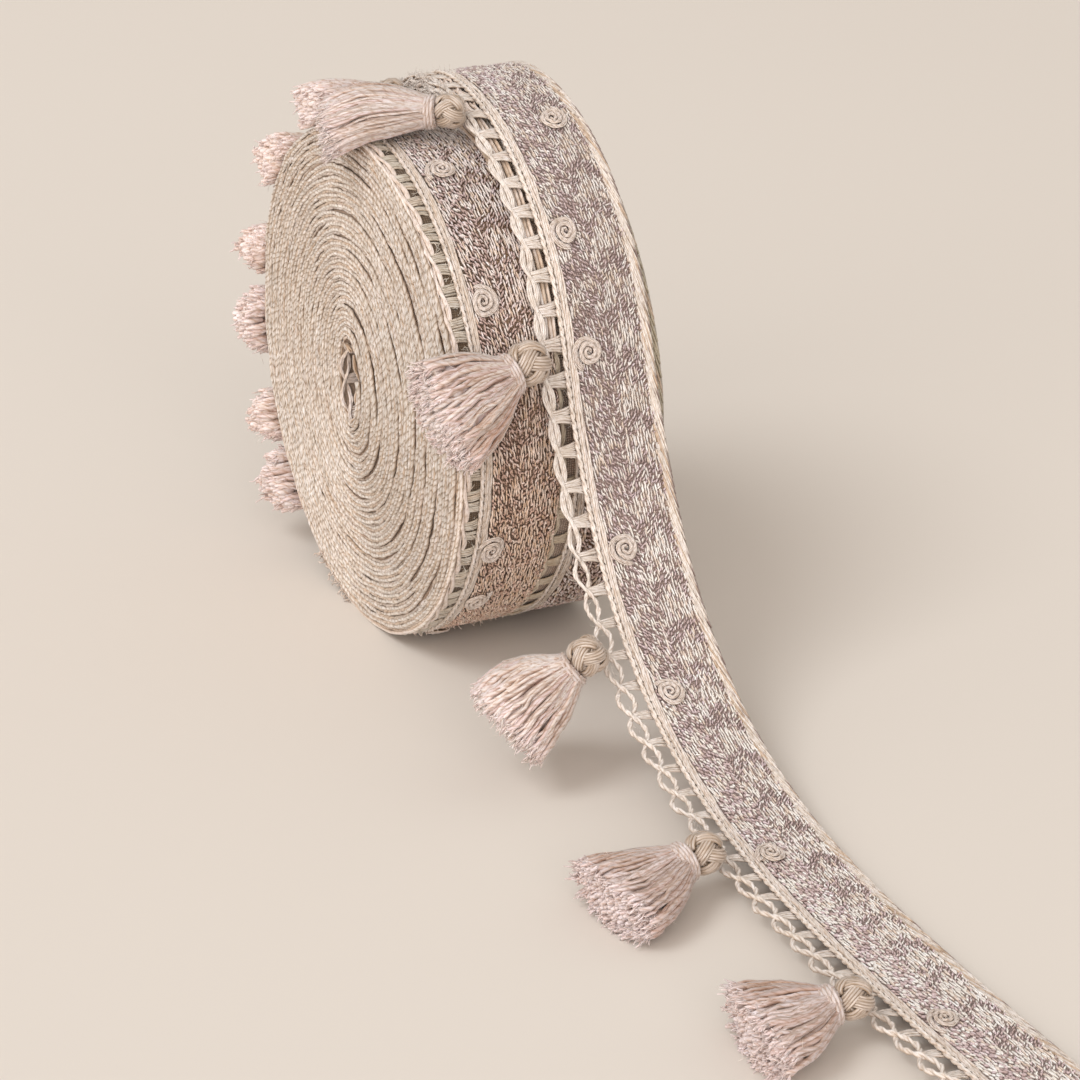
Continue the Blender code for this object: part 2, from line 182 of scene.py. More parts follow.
# ---- ribbons ---------------------------------------------------------
class Ribbon:
    """A length of trimming on its path. at(s, u, n) reads s mm along it, u mm
    in from the braid's left edge and n mm out from its face."""

    def __init__(self, s, y, z, left, bank, oy, oz, in_scale=1.0, out_scale=1.0):
        self.s, self.y, self.z, self.left = s, y, z, left
        self.bank, self.oy, self.oz = np.radians(bank), oy, oz
        self.in_scale, self.out_scale = in_scale, out_scale
        self.length = s[-1]

    def at(self, s, u, n=0.0):
        s, u, n = np.broadcast_arrays(s, u, n)
        u = np.where(u < 0, u * self.out_scale, u * self.in_scale)
        y, z = np.interp(s, self.s, self.y), np.interp(s, self.s, self.z)
        left, bank = np.interp(s, self.s, self.left), np.interp(s, self.s, self.bank)
        oy, oz = np.interp(s, self.s, self.oy), np.interp(s, self.s, self.oz)
        w = u - BRAID_WIDTH / 2
        c, b = np.cos(bank), np.sin(bank)
        x = left + BRAID_WIDTH / 2 + c * w + b * n
        return np.stack([x, y + oy * (c * n - b * w), z + oz * (c * n - b * w)], -1)

    def outward(self, s):
        s = np.asarray(s, float)
        bank = np.interp(s, self.s, self.bank)
        return np.stack([np.sin(bank), np.interp(s, self.s, self.oy) * np.cos(bank),
                         np.interp(s, self.s, self.oz) * np.cos(bank)], -1)


def loose_path():
    rows = catmull(DRAPE_ROWS, 10)
    step = np.hypot(np.diff(rows[:, 0]), np.diff(rows[:, 1]))
    dist = np.concatenate([[0], np.cumsum(step)])
    s = np.linspace(0, dist[-1], 900)
    y, z, left, bank = (np.interp(s, dist, rows[:, k]) for k in range(4))
    ay = np.interp(s + 1.5, dist, rows[:, 0]) - np.interp(s - 1.5, dist, rows[:, 0])
    az = np.interp(s + 1.5, dist, rows[:, 1]) - np.interp(s - 1.5, dist, rows[:, 1])
    ln = np.hypot(ay, az)
    return Ribbon(s, y, z, left, bank, az / ln, -ay / ln)


def turn_path(angles, radius, left, in_scale=1.0, out_scale=1.0):
    """A turn on the roll. Its angle falls as s grows, as on the loose end."""
    a = np.radians(angles)
    y, z = -radius * np.cos(a), CENTRE_Z + radius * np.sin(a)
    s = np.concatenate([[0], np.cumsum(np.hypot(np.diff(y), np.diff(z)))])
    left = np.broadcast_to(np.asarray(left, float), s.shape)
    return Ribbon(s, y, z, left, np.zeros_like(s), -np.cos(a), np.sin(a),
                  in_scale, out_scale)


def lane2_radius(angle):
    rows = catmull(LANE2_ROWS, 8)
    return np.interp(angle, rows[:, 0], rows[:, 1])


LOOSE = loose_path()
_a1 = np.linspace(360 + 118, 118, 1400)
LANE1 = turn_path(_a1, np.full_like(_a1, LANE1_RADIUS - 0.1), 5.3, 0.9, 0.76)
_a2 = np.linspace(476, 119.5, 1400)
LANE2 = turn_path(_a2, lane2_radius(_a2) - 0.1, 28.9, 1.0, 0.85)


# ---- meshes ----------------------------------------------------------
class Bag:
    """Gathers small closed shapes in one mesh, with a colour and a strand
    coordinate on each point."""

    def __init__(self):
        self.v, self.c, self.b, self.q, self.t, self.n = [], [], [], [], [], 0

    def add(self, v, quads, tris, c, b):
        v = np.asarray(v, np.float32).reshape(-1, 3)
        self.v.append(v)
        self.c.append(np.broadcast_to(np.asarray(c, np.float32), (len(v), 3)))
        self.b.append(np.asarray(b, np.float32).reshape(-1, 3))
        if quads is not None and len(quads):
            self.q.append(np.asarray(quads, np.int64).reshape(-1, 4) + self.n)
        if tris is not None and len(tris):
            self.t.append(np.asarray(tris, np.int64).reshape(-1, 3) + self.n)
        self.n += len(v)

    def tris(self):
        return 2 * sum(len(q) for q in self.q) + sum(len(t) for t in self.t)

    def make(self, name, mat, slot, *replaced):
        v = np.concatenate(self.v).astype(np.float64)
        v[:, 2] = np.maximum(v[:, 2], 0.04)
        v = (v - np.array([ROLL_WIDTH / 2, 0, 0])) * 0.001
        quads = np.concatenate(self.q) if self.q else np.zeros((0, 4), np.int64)
        tris = np.concatenate(self.t) if self.t else np.zeros((0, 3), np.int64)
        mesh = bpy.data.meshes.new(name)
        mesh.vertices.add(len(v))
        mesh.vertices.foreach_set("co", v.ravel().astype(np.float32))
        loops = np.concatenate([quads.ravel(), tris.ravel()]).astype(np.int32)
        total = np.concatenate([np.full(len(quads), 4), np.full(len(tris), 3)])
        start = np.concatenate([[0], np.cumsum(total)[:-1]]).astype(np.int32)
        mesh.loops.add(len(loops))
        mesh.loops.foreach_set("vertex_index", loops)
        mesh.polygons.add(len(total))
        mesh.polygons.foreach_set("loop_start", start)
        mesh.update(calc_edges=True)
        mesh.polygons.foreach_set("use_smooth", np.ones(len(total), bool))
        col = mesh.attributes.new("col", "FLOAT_COLOR", "POINT")
        rgba = np.ones((len(v), 4), np.float32)
        c = np.concatenate(self.c)
        c = c * (1 + c.mean(1, keepdims=True) * np.array([-0.02, 0.065, 0.25]))
        c[:, 1] = np.minimum(c[:, 1], 0.935 * c[:, 0])
        c[:, 2] = np.minimum(c[:, 2], 0.90 * c[:, 0])
        rgba[:, :3] = np.clip(c, 0, 1)
        col.data.foreach_set("color", rgba.ravel())
        fib = mesh.attributes.new("fib", "FLOAT_VECTOR", "POINT")
        fib.data.foreach_set("vector", np.concatenate(self.b).ravel())
        mesh.validate()
        obj = bpy.data.objects.new(name, mesh)
        bpy.context.scene.collection.objects.link(obj)
        mesh.materials.append(mat)
        if replaced:
            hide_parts(*replaced)
        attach(obj, "root")
        return obj


def tube(bag, path, radius, col, sides=5, ref=None, flat=1.0, twist=0.0,
         lobes=0.0, taper=(0.35, 0.35), shade=None, hand=1.0, warm=WARM):
    """Closed strands. path is (strands, points, 3)."""
    path = np.asarray(path, float)
    if path.ndim == 2:
        path = path[None]
    count, points, _ = path.shape
    radius = np.broadcast_to(np.asarray(radius, float), (count, points))
    along = np.empty_like(path)
    along[:, 1:-1] = path[:, 2:] - path[:, :-2]
    along[:, 0] = path[:, 1] - path[:, 0]
    along[:, -1] = path[:, -1] - path[:, -2]
    along = unit(along)
    if ref is None:
        e = np.empty_like(path)
        start = np.where(np.abs(along[:, 0, 2:3]) < 0.8, [[0, 0, 1.0]], [[1.0, 0, 0]])
        e[:, 0] = unit(start - along[:, 0] * (start * along[:, 0]).sum(-1, keepdims=True))
        for i in range(1, points):
            w = e[:, i - 1]
            e[:, i] = unit(w - along[:, i] * (w * along[:, i]).sum(-1, keepdims=True))
    else:
        ref = np.broadcast_to(np.asarray(ref, float), path.shape)
        e = unit(ref - along * (ref * along).sum(-1, keepdims=True))
    side = np.cross(along, e)
    step = np.linalg.norm(np.diff(path, axis=1), axis=-1)
    dist = np.concatenate([np.zeros((count, 1)), np.cumsum(step, 1)], 1)
    ang = np.arange(sides) * 2 * np.pi / sides + np.pi / 2
    turn = dist * twist + rng.uniform(0, 2 * np.pi, (count, 1)) * (ref is None)
    phi = ang[None, None] + (turn[..., None] if lobes == 0 else 0.0)
    size = radius[..., None] * np.ones_like(phi)
    if lobes:
        size = size * (1 + lobes * np.cos(2 * (phi - turn[..., None])))
    v = (path[:, :, None] + side[:, :, None] * (np.cos(phi) * size)[..., None]
         + e[:, :, None] * (np.sin(phi) * size * flat)[..., None])
    tip0 = path[:, :1] - along[:, :1] * radius[:, :1, None] * taper[0]
    tip1 = path[:, -1:] + along[:, -1:] * radius[:, -1:, None] * taper[1]
    ring = v.reshape(count, points * sides, 3)
    allv = np.concatenate([ring, tip0, tip1], 1)
    per = points * sides + 2
    i = np.arange(points - 1)[:, None] * sides
    k = np.arange(sides)[None]
    m = (k + 1) % sides
    quads = np.stack([i + k, i + m, i + sides + m, i + sides + k], -1).reshape(-1, 4)
    k, m = np.arange(sides), (np.arange(sides) + 1) % sides
    last = (points - 1) * sides
    caps = np.concatenate([
        np.stack([np.full(sides, per - 2), m, k], -1),
        np.stack([np.full(sides, per - 1), last + k, last + m], -1)])
    base = (np.arange(count) * per)[:, None, None]
    col = np.asarray(col, float)
    if col.ndim == 1:
        col = np.broadcast_to(col, (count, 3))
    if col.ndim == 2:
        col = np.broadcast_to(col[:, None], (count, points, 3))
    c = np.repeat(col, sides, axis=1).reshape(count, points, sides, 3)
    # painted shade: each strand is darker on its flanks and underside, browner as it deepens
    if shade is not None:
        lift = np.sin(ang)[None, None, :, None]
        shade = np.asarray(shade, float)
        if shade.ndim:
            shade = np.broadcast_to(shade, (count, points))[:, :, None, None]
        c = c * (1 - shade * (0.5 - 0.5 * lift)) ** warm
    # painted shade: darker in the grooves between the lobes
    if lobes:
        c = c * (0.86 + 0.14 * np.cos(2 * (phi - turn[..., None])))[..., None]
    c = c.reshape(count, points * sides, 3)
    c = np.concatenate([c, col[:, :1] * 0.85, col[:, -1:]], 1)
    off = rng.uniform(0, 90, (count, 1, 1))
    spin = np.broadcast_to(ang[None, None], (count, points, sides))
    lay = dist[..., None] + 0.5 * np.sin(0.9 * dist[..., None] + off) + off
    fib = np.stack([lay + 0 * spin, np.cos(spin), hand * np.sin(spin)], -1)
    fib = fib.reshape(count, points * sides, 3)
    fib = np.concatenate([fib, fib[:, :1], fib[:, -1:]], 1)
    bag.add(allv, (quads[None] + base).reshape(-1, 4), (caps[None] + base).reshape(-1, 3),
            c.reshape(-1, 3), fib)


def grains(bag, place, s, u, angle, length, width, height, base, col, flank_shade=0.7, full=True):
    """Short closed floats of yarn lying on a ribbon: 12 triangles each, or
    plain spindles of 6."""
    count = len(s)
    if full:
        t = np.array([-1, -0.42, -0.42, -0.42, 0.42, 0.42, 0.42, 1.0])
        w = np.array([0, -1, 0, 1, -1, 0, 1, 0.0])
        h = np.array([-0.25, -0.2, 1, -0.2, -0.2, 1, -0.2, -0.25])
        quads = np.array([(1, 4, 5, 2), (2, 5, 6, 3), (3, 6, 4, 1)])
        tris = np.array([(0, 1, 2), (0, 2, 3), (0, 3, 1), (7, 5, 4), (7, 6, 5), (7, 4, 6)])
    else:
        t = np.array([-1, 0, 0, 0, 1.0])
        w = np.array([0, -1.15, 0, 1.15, 0])
        h = np.array([-0.1, -0.2, 1, -0.2, -0.1])
        quads = None
        tris = np.array([(0, 1, 2), (0, 2, 3), (0, 3, 1), (4, 2, 1), (4, 3, 2), (4, 1, 3)])
    # the ring's flat underside closes each float
    ca, sa = np.cos(angle)[:, None], np.sin(angle)[:, None]
    x = (length / 2)[:, None] * t
    y = (width / 2)[:, None] * w
    v = place(s[:, None] + ca * x - sa * y, u[:, None] + sa * x + ca * y,
              base[:, None] + height[:, None] * h)
    off = (np.arange(count) * len(t))[:, None, None]
    # painted shade: the flanks and ends of each float are darker than its ridge, so the ridge reads
    # as a lit highlight
    c = col[:, None] * np.where(h > 0.5, 1.0, np.where(w == 0, 0.5 + 0.5 * flank_shade, flank_shade))[
        None, :, None]
    spare = rng.uniform(0, 90, (count, 1))
    fib = np.stack([x + spare, 0 * x + w, 0 * x + np.where(w == 0, 1.0, 0.1)], -1)
    bag.add(v, None if quads is None else (quads[None] + off).reshape(-1, 4),
            (tris[None] + off).reshape(-1, 3), c.reshape(-1, 3), fib)


# ---- materials -------------------------------------------------------
def yarn(name, rough=0.5, sheen=0.3, bump=0.6, vary=0.16, mottle=260.0, turn=2.4,
         plies=2.0, groove_shade=0.3, shine=0.5, depth=0.00012, warm=WARM):
    """Plied yarn. The strand coordinate holds the distance along the strand
    and the place round it; the plies wind at turn radians a millimetre.
    The colour is darkened in the grooves between the plies as painted
    shade, which turns browner as it deepens."""
    mat = bpy.data.materials.new(name)
    mat.use_nodes = True
    tree = mat.node_tree
    bsdf = tree.nodes["Principled BSDF"]
    link = tree.links.new

    def node(kind, **inputs):
        n = tree.nodes.new(kind)
        for key, value in inputs.items():
            n.inputs[key].default_value = value
        return n

    def sum_(kind, a, b=None, c=None):
        n = tree.nodes.new("ShaderNodeMath")
        n.operation = kind
        for i, v in enumerate((a, b, c)):
            if v is None:
                continue
            if isinstance(v, (int, float)):
                n.inputs[i].default_value = v
            else:
                link(v, n.inputs[i])
        return n.outputs["Value"]

    def span(value, lo, hi, out_lo, out_hi):
        n = tree.nodes.new("ShaderNodeMapRange")
        for key, v in (("From Min", lo), ("From Max", hi), ("To Min", out_lo),
                       ("To Max", out_hi)):
            n.inputs[key].default_value = v
        link(value, n.inputs["Value"])
        return n.outputs["Result"]

    col = tree.nodes.new("ShaderNodeAttribute")
    col.attribute_name = "col"
    fib = tree.nodes.new("ShaderNodeAttribute")
    fib.attribute_name = "fib"
    parts = tree.nodes.new("ShaderNodeSeparateXYZ")
    link(fib.outputs["Vector"], parts.inputs[0])
    around = sum_("ARCTAN2", parts.outputs["Z"], parts.outputs["Y"])
    phase = sum_("MULTIPLY_ADD", parts.outputs["X"], turn, around)
    ply = sum_("ABSOLUTE", sum_("COSINE", sum_("MULTIPLY", phase, plies / 2)))
    join = tree.nodes.new("ShaderNodeCombineXYZ")
    link(sum_("MULTIPLY", parts.outputs["X"], 0.7), join.inputs[0])
    link(sum_("MULTIPLY", sum_("COSINE", phase), 1.5), join.inputs[1])
    link(sum_("MULTIPLY", sum_("SINE", phase), 1.5), join.inputs[2])
    hair = node("ShaderNodeTexNoise", Scale=1.9, Detail=3.0, Roughness=0.62)
    link(join.outputs[0], hair.inputs["Vector"])
    where = tree.nodes.new("ShaderNodeTexCoord")
    cloud = node("ShaderNodeTexNoise", Scale=mottle, Detail=4.0, Roughness=0.62)
    link(where.outputs["Object"], cloud.inputs["Vector"])

    light = span(hair.outputs["Fac"], 0.28, 0.72, 1.0 - vary, 1.0 + vary * 0.45)
    patch = span(cloud.outputs["Fac"], 0.3, 0.7, 0.9, 1.06)
    # painted shade: darker in the grooves between the plies
    painted_groove_shade = span(ply, 0.0, 0.65, 1.0 - groove_shade, 1.0)
    both = sum_("MULTIPLY", sum_("MULTIPLY", light, patch), painted_groove_shade)
    # the random tone and the painted shade are raised to a power per channel, so the shade browns as
    # it deepens
    tint = tree.nodes.new("ShaderNodeCombineXYZ")
    for i, power in enumerate(warm):
        link(sum_("POWER", both, float(power)), tint.inputs[i])
    shade = tree.nodes.new("ShaderNodeVectorMath")
    shade.operation = "MULTIPLY"
    link(col.outputs["Color"], shade.inputs[0])
    link(tint.outputs[0], shade.inputs[1])
    link(shade.outputs["Vector"], bsdf.inputs["Base Color"])

    link(span(hair.outputs["Fac"], 0.0, 1.0, rough - 0.1, rough + 0.14),
         bsdf.inputs["Roughness"])
    raise_ = node("ShaderNodeBump", Strength=bump, Distance=depth)
    height = sum_("MULTIPLY_ADD", hair.outputs["Fac"], 0.5, sum_("POWER", ply, 0.6))
    link(height, raise_.inputs["Height"])
    link(raise_.outputs["Normal"], bsdf.inputs["Normal"])
    bsdf.inputs["Sheen Weight"].default_value = sheen
    bsdf.inputs["Sheen Roughness"].default_value = 0.45
    bsdf.inputs["Sheen Tint"].default_value = (1.0, 0.96, 0.92, 1.0)
    bsdf.inputs["Specular IOR Level"].default_value = shine
    return mat


def woven(name, light, dark, rough=0.85, pitch=0.0007):
    """Plain woven ground: crossing threads from two wave textures."""
    mat = bpy.data.materials.new(name)
    mat.use_nodes = True
    tree = mat.node_tree
    bsdf = tree.nodes["Principled BSDF"]
    link = tree.links.new
    fib = tree.nodes.new("ShaderNodeAttribute")
    fib.attribute_name = "fib"
    col = tree.nodes.new("ShaderNodeAttribute")
    col.attribute_name = "col"
    waves = []
    for turn in ("X", "Y"):
        w = tree.nodes.new("ShaderNodeTexWave")
        w.bands_direction = turn
        w.inputs["Scale"].default_value = 0.55
        w.inputs["Distortion"].default_value = 1.6
        w.inputs["Detail"].default_value = 2.0
        w.inputs["Detail Scale"].default_value = 1.4
        link(fib.outputs["Vector"], w.inputs["Vector"])
        waves.append(w)
    cross = tree.nodes.new("ShaderNodeMath")
    cross.operation = "MULTIPLY"
    link(waves[0].outputs["Fac"], cross.inputs[0])
    link(waves[1].outputs["Fac"], cross.inputs[1])
    ramp = tree.nodes.new("ShaderNodeValToRGB")
    ramp.color_ramp.elements[0].color = (*dark, 1)
    ramp.color_ramp.elements[1].color = (*light, 1)
    ramp.color_ramp.elements[1].position = 0.7
    link(cross.outputs["Value"], ramp.inputs["Fac"])
    tint = tree.nodes.new("ShaderNodeMix")
    tint.data_type = "RGBA"
    tint.blend_type = "MULTIPLY"
    tint.inputs["Factor"].default_value = 1.0
    link(ramp.outputs["Color"], tint.inputs["A"])
    link(col.outputs["Color"], tint.inputs["B"])
    link(tint.outputs["Result"], bsdf.inputs["Base Color"])
    bump = tree.nodes.new("ShaderNodeBump")
    bump.inputs["Strength"].default_value = 0.7
    bump.inputs["Distance"].default_value = 0.0003
    link(cross.outputs["Value"], bump.inputs["Height"])
    link(bump.outputs["Normal"], bsdf.inputs["Normal"])
    noise = tree.nodes.new("ShaderNodeTexNoise")
    noise.inputs["Scale"].default_value = 3.0
    link(fib.outputs["Vector"], noise.inputs["Vector"])
    spread = tree.nodes.new("ShaderNodeMapRange")
    spread.inputs["To Min"].default_value = rough - 0.1
    spread.inputs["To Max"].default_value = min(1.0, rough + 0.1)
    link(noise.outputs["Fac"], spread.inputs["Value"])
    link(spread.outputs["Result"], bsdf.inputs["Roughness"])
    bsdf.inputs["Sheen Weight"].default_value = 0.2
    bsdf.inputs["Specular IOR Level"].default_value = 0.25
    return mat


M_GRAIN = yarn("jacquard yarn", rough=0.38, sheen=0.15, bump=0.3, vary=0.12, turn=1.1,
               groove_shade=0.1, shine=0.6)
M_EDGE = yarn("edge yarn", rough=0.42, sheen=0.3, vary=0.12, turn=1.3, groove_shade=0.16)
M_COIL = yarn("wound edge yarn", rough=0.38, sheen=0.3, bump=0.9, vary=0.24, turn=1.6,
              groove_shade=0.38, depth=0.0002)
M_HEAD = yarn("knot yarn", rough=0.30, sheen=0.2, bump=0.5, vary=0.15, turn=0.6,
              groove_shade=0.26, shine=0.8)
M_SKIRT = yarn("tassel yarn", rough=0.40, sheen=0.4, bump=0.45, vary=0.14, turn=1.2,
               groove_shade=0.24, warm=WARM_SKIRT)
M_ROSETTE = yarn("rosette yarn", rough=0.46, sheen=0.3, vary=0.18, turn=2.0, groove_shade=0.26)
M_GROUND = woven("braid ground", (1.0, 1.0, 1.0), (0.45, 0.4, 0.38))
M_CORE = woven("wound ground", (1.0, 1.0, 1.0), (0.4, 0.36, 0.33))

# ---- camera, light, floor --------------------------------------------
eye = bpy.data.cameras.new("camera")
eye.lens = 106.67
eye.sensor_width = 36.0
eye.clip_start = 0.01
camera = bpy.data.objects.new("camera", eye)
bpy.context.scene.collection.objects.link(camera)
camera.matrix_world = Matrix((
    (0.90359, 0.17015, -0.39316, -0.28744),
    (-0.42840, 0.35889, -0.82926, -0.65386),
    (0.0, 0.91774, 0.39718, 0.32405),
    (0, 0, 0, 1)))
bpy.context.scene.camera = camera

world = bpy.data.worlds.new("studio")
world.use_nodes = True
world.node_tree.nodes["Background"].inputs[0].default_value = (1.0, 0.933, 0.862, 1)
world.node_tree.nodes["Background"].inputs[1].default_value = 0.57
bpy.context.scene.world = world
bpy.context.scene.view_settings.view_transform = "Standard"


def sun(name, direction, strength, angle, colour):
    data = bpy.data.lights.new(name, "SUN")
    data.energy = strength
    data.angle = math.radians(angle)
    data.color = colour
    obj = bpy.data.objects.new(name, data)
    bpy.context.scene.collection.objects.link(obj)
    z = -unit(np.array(direction, float))
    x = unit(np.cross([0, 0, 1.0], z))
    y = np.cross(z, x)
    obj.matrix_world = Matrix([[*r, 0] for r in np.stack([x, y, z], 1)] + [[0, 0, 0, 1]])
    return obj


# from the picture's upper left, a little in front
sun("key", (0.74, 0.12, -0.95), 1.16, 28, (0.965, 0.987, 0.998))
sun("fill", (0.50, 0.85, -0.17), 2.75, 80, (1.0, 0.96, 0.925))


def floor():
    mesh = bpy.data.meshes.new("floor")
    r = 6.0
    mesh.from_pydata([(-r, -r, 0), (r, -r, 0), (r, r, 0), (-r, r, 0)], [], [(0, 1, 2, 3)])
    obj = bpy.data.objects.new("floor", mesh)
    bpy.context.scene.collection.objects.link(obj)
    mat = bpy.data.materials.new("floor")
    mat.use_nodes = True
    tree = mat.node_tree
    bsdf = tree.nodes["Principled BSDF"]
    noise = tree.nodes.new("ShaderNodeTexNoise")
    noise.inputs["Scale"].default_value = 3.0
    ramp = tree.nodes.new("ShaderNodeValToRGB")
    ramp.color_ramp.elements[0].color = (*(srgb(216, 208, 200)), 1)
    ramp.color_ramp.elements[1].color = (*(srgb(226, 218, 210)), 1)
    where = tree.nodes.new("ShaderNodeTexCoord")
    # painted light: the floor's colour grows paler towards the lower left of the view and darker to
    # the right; a faint noise mottles it
    painted_light_gradient = tree.nodes.new("ShaderNodeVectorMath")
    painted_light_gradient.operation = "DOT_PRODUCT"
    painted_light_gradient.inputs[1].default_value = (-1.2, -0.2, 0.0)
    tree.links.new(where.outputs["Object"], painted_light_gradient.inputs[0])
    tree.links.new(where.outputs["Object"], noise.inputs["Vector"])
    level = tree.nodes.new("ShaderNodeMath")
    level.operation = "MULTIPLY_ADD"
    level.inputs[1].default_value = 0.12
    tree.links.new(noise.outputs["Fac"], level.inputs[0])
    tree.links.new(painted_light_gradient.outputs["Value"], level.inputs[2])
    share = tree.nodes.new("ShaderNodeMath")
    share.operation = "ADD"
    share.inputs[1].default_value = 0.56
    share.use_clamp = True
    tree.links.new(level.outputs["Value"], share.inputs[0])
    tree.links.new(share.outputs["Value"], ramp.inputs["Fac"])
    tree.links.new(ramp.outputs["Color"], bsdf.inputs["Base Color"])
    bsdf.inputs["Roughness"].default_value = 0.9
    bsdf.inputs["Specular IOR Level"].default_value = 0.1
    mesh.materials.append(mat)
    obj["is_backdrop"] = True


floor()


# ---- pattern of the braid --------------------------------------------
def mauve_share(s, u):
    """0 in the cream areas, 1 in the mauve ones: a zigzag on the right half,
    a mottled mauve on the left."""
    v = u - 10.3
    rough = wob(s * 1.0, ((5.1, 0.10), (2.3, 0.10)), 5) + wob(
        u * 1.7 + s * 0.4, ((3.3, 0.12), (1.9, 0.10)), 6)
    arm = np.where(v < 4.6, v * 1.15, 5.29 - (v - 4.6) * 1.15)
    wave = np.cos(2 * np.pi * (s + arm + wob(s, ((29, 0.7),), 8)) / 12.0)
    right = 0.47 + 0.40 * wave + rough
    patch = np.cos(2 * np.pi * (s - 1.2 * (10.3 - u) + 3.0) / 12.0)
    near = np.clip((6.6 - u) / 3.0, 0, 1)
    left = 0.80 - (0.55 * near + 0.28) * np.clip(patch, 0, 1) + rough
    share = np.where(v > 0, right, left)
    spine = np.exp(-(v / 1.1) ** 2)
    share = share * (1 - spine) + spine * (0.72 + rough)
    return np.clip(share, 0, 1)


def jacquard(bag, rib, s0, s1, per_mm2, seed, big=1.0, brightness=1.0, warm=0.0, under=False,
             u0=2.5, u1=18.9, wild=0.0, plain=None, full=True):
    """Floats of the pattern. warm and plain are numbers or functions of the
    distance along: how far the floats are browned (painted bounce light on the
    first lane's lower front), how far the mauve gives way."""
    r = np.random.default_rng(seed)
    area = (s1 - s0) * (u1 - u0)
    count = int(area * per_mm2)
    cols = max(4, int((u1 - u0) / (0.64 * big)))
    rows = max(1, count // cols)
    gs, gu = np.meshgrid(np.arange(rows), np.arange(cols), indexing="ij")
    s = s0 + (gs + 0.5 * (gu % 2) + r.uniform(-0.35, 0.35, gs.shape)) * (s1 - s0) / rows
    u = u0 + (gu + 0.5 + r.uniform(-0.34, 0.34, gu.shape)) * (u1 - u0) / cols
    s, u = s.ravel(), np.clip(u.ravel(), u0, u1)
    count = len(s)
    m = mauve_share(s, u)
    if plain is not None:
        m = m * (1 - plain(s))
    is_mauve = r.random(count) < np.clip(m * 1.1 - 0.04, 0.04, 0.97)
    lean = np.where(u < 10.3, 1.0, -1.0)
    wild = wild(s) if callable(wild) else wild
    tilt = np.where(is_mauve, 33, 8) * lean * (1 - 0.5 * wild) + np.where(
        is_mauve, r.normal(0, 1, count) * (15 + 24 * wild),
        r.normal(0, 1, count) * (7 + 14 * wild))
    # cream floats lie a little across the ribbon on both halves
    tilt = np.where(is_mauve, tilt, tilt * 0.35 + 6)
    angle = np.radians(tilt)
    length = np.where(is_mauve, r.uniform(1.1, 1.8, count), r.uniform(1.7, 3.1, count)) * big
    length = length * (1 - 0.25 * wild)
    width = np.where(is_mauve, r.uniform(0.42, 0.60, count), r.uniform(0.42, 0.58, count)) * big
    height = np.where(is_mauve, r.uniform(0.26, 0.46, count), r.uniform(0.2, 0.34, count))
    base = r.uniform(-0.10, 0.06, count)
    tone = r.random(count)[:, None]
    # painted highlight: about a third of the mauve floats are paler, standing in for glints on the
    # silk
    painted_glint = (r.random(count) < 0.36)[:, None]
    mauve = MAUVE_DARK * (1 - tone) + MAUVE * tone
    mauve = np.where(painted_glint, mix(MAUVE, MAUVE_LIGHT, tone[:, 0] ** 0.7), mauve)
    warmth = (r.random(count) < 0.3)[:, None]
    cream = mix(CREAM, MAUVE_LIGHT, 0.3) * (0.76 + 0.22 * tone)
    cream = np.where(warmth, mix(TAN, CREAM, 0.3) * (0.86 + 0.14 * tone), cream)
    cream = np.where(r.random((count, 1)) < 0.16, OFF_WHITE * 0.98, cream)
    col = np.where(is_mauve[:, None], mauve, cream)
    col = col * (brightness(s)[:, None] if callable(brightness) else brightness)
    # browning of the floats; on the first lane's lower front this is painted bounce light from the
    # floor
    w = (warm(s) if callable(warm) else np.full(count, warm))[:, None]
    col = col * (1 - w) + w * (0.68 * col * np.array([1.24, 0.95, 0.70])
                               + 0.42 * srgb(212, 178, 142))

    def place(a, b, n):
        return rib.at(np.clip(a, s0 - 0.4, s1 + 0.4), b, -1.75 - n if under else n)

    grains(bag, place, s, u, angle, length, width, height, base, col, full=full)


def ground_colour(s, u, brightness=1.0):
    m = mauve_share(s, u)
    base = mix(srgb(206, 182, 164), MAUVE_DARK * 0.8, m)
    return np.where((np.asarray(u) > 18.4)[..., None], srgb(170, 140, 116), base) * brightness


# ---- base cloth of the loose end -------------------------------------
def cloth_grid(bag, rib, s0, s1, u0, u1, top, thick, ns, nu, colour):
    """Closed strip: upper face, under face and the four edges."""
    s, u = np.linspace(s0, s1, ns), np.linspace(u0, u1, nu)
    gs, gu = np.meshgrid(s, u, indexing="ij")
    edge = np.minimum(gu - u0, u1 - gu)
    round_ = 0.25 * np.exp(-edge / 0.35)
    up = rib.at(gs, gu, top - round_)
    dn = rib.at(gs, gu, top - thick + round_)
    v = np.concatenate([up.reshape(-1, 3), dn.reshape(-1, 3)])
    n = ns * nu
    i, k = np.meshgrid(np.arange(ns - 1), np.arange(nu - 1), indexing="ij")
    a = (i * nu + k).ravel()
    upq = np.stack([a, a + nu, a + nu + 1, a + 1], -1)
    dnq = upq[:, ::-1] + n
    rim = []
    left = np.arange(ns - 1) * nu
    rim.append(np.stack([left, left + n, left + nu + n, left + nu], -1))
    right = left + nu - 1
    rim.append(np.stack([right, right + nu, right + nu + n, right + n], -1))
    first = np.arange(nu - 1)
    rim.append(np.stack([first, first + 1, first + 1 + n, first + n], -1))
    last = first + (ns - 1) * nu
    rim.append(np.stack([last, last + n, last + 1 + n, last + 1], -1))
    c = colour(gs, gu).reshape(-1, 3)
    fib = np.stack([gs, gu, np.zeros_like(gs)], -1).reshape(-1, 3)
    bag.add(v, np.concatenate([upq, dnq, *rim]), None,
            np.concatenate([c, c * 0.9]), np.concatenate([fib, fib + 7.3]))


# ---- edge cord, chain and ladder -------------------------------------
def run(rib, s, u, n):
    return rib.at(s, u, n)


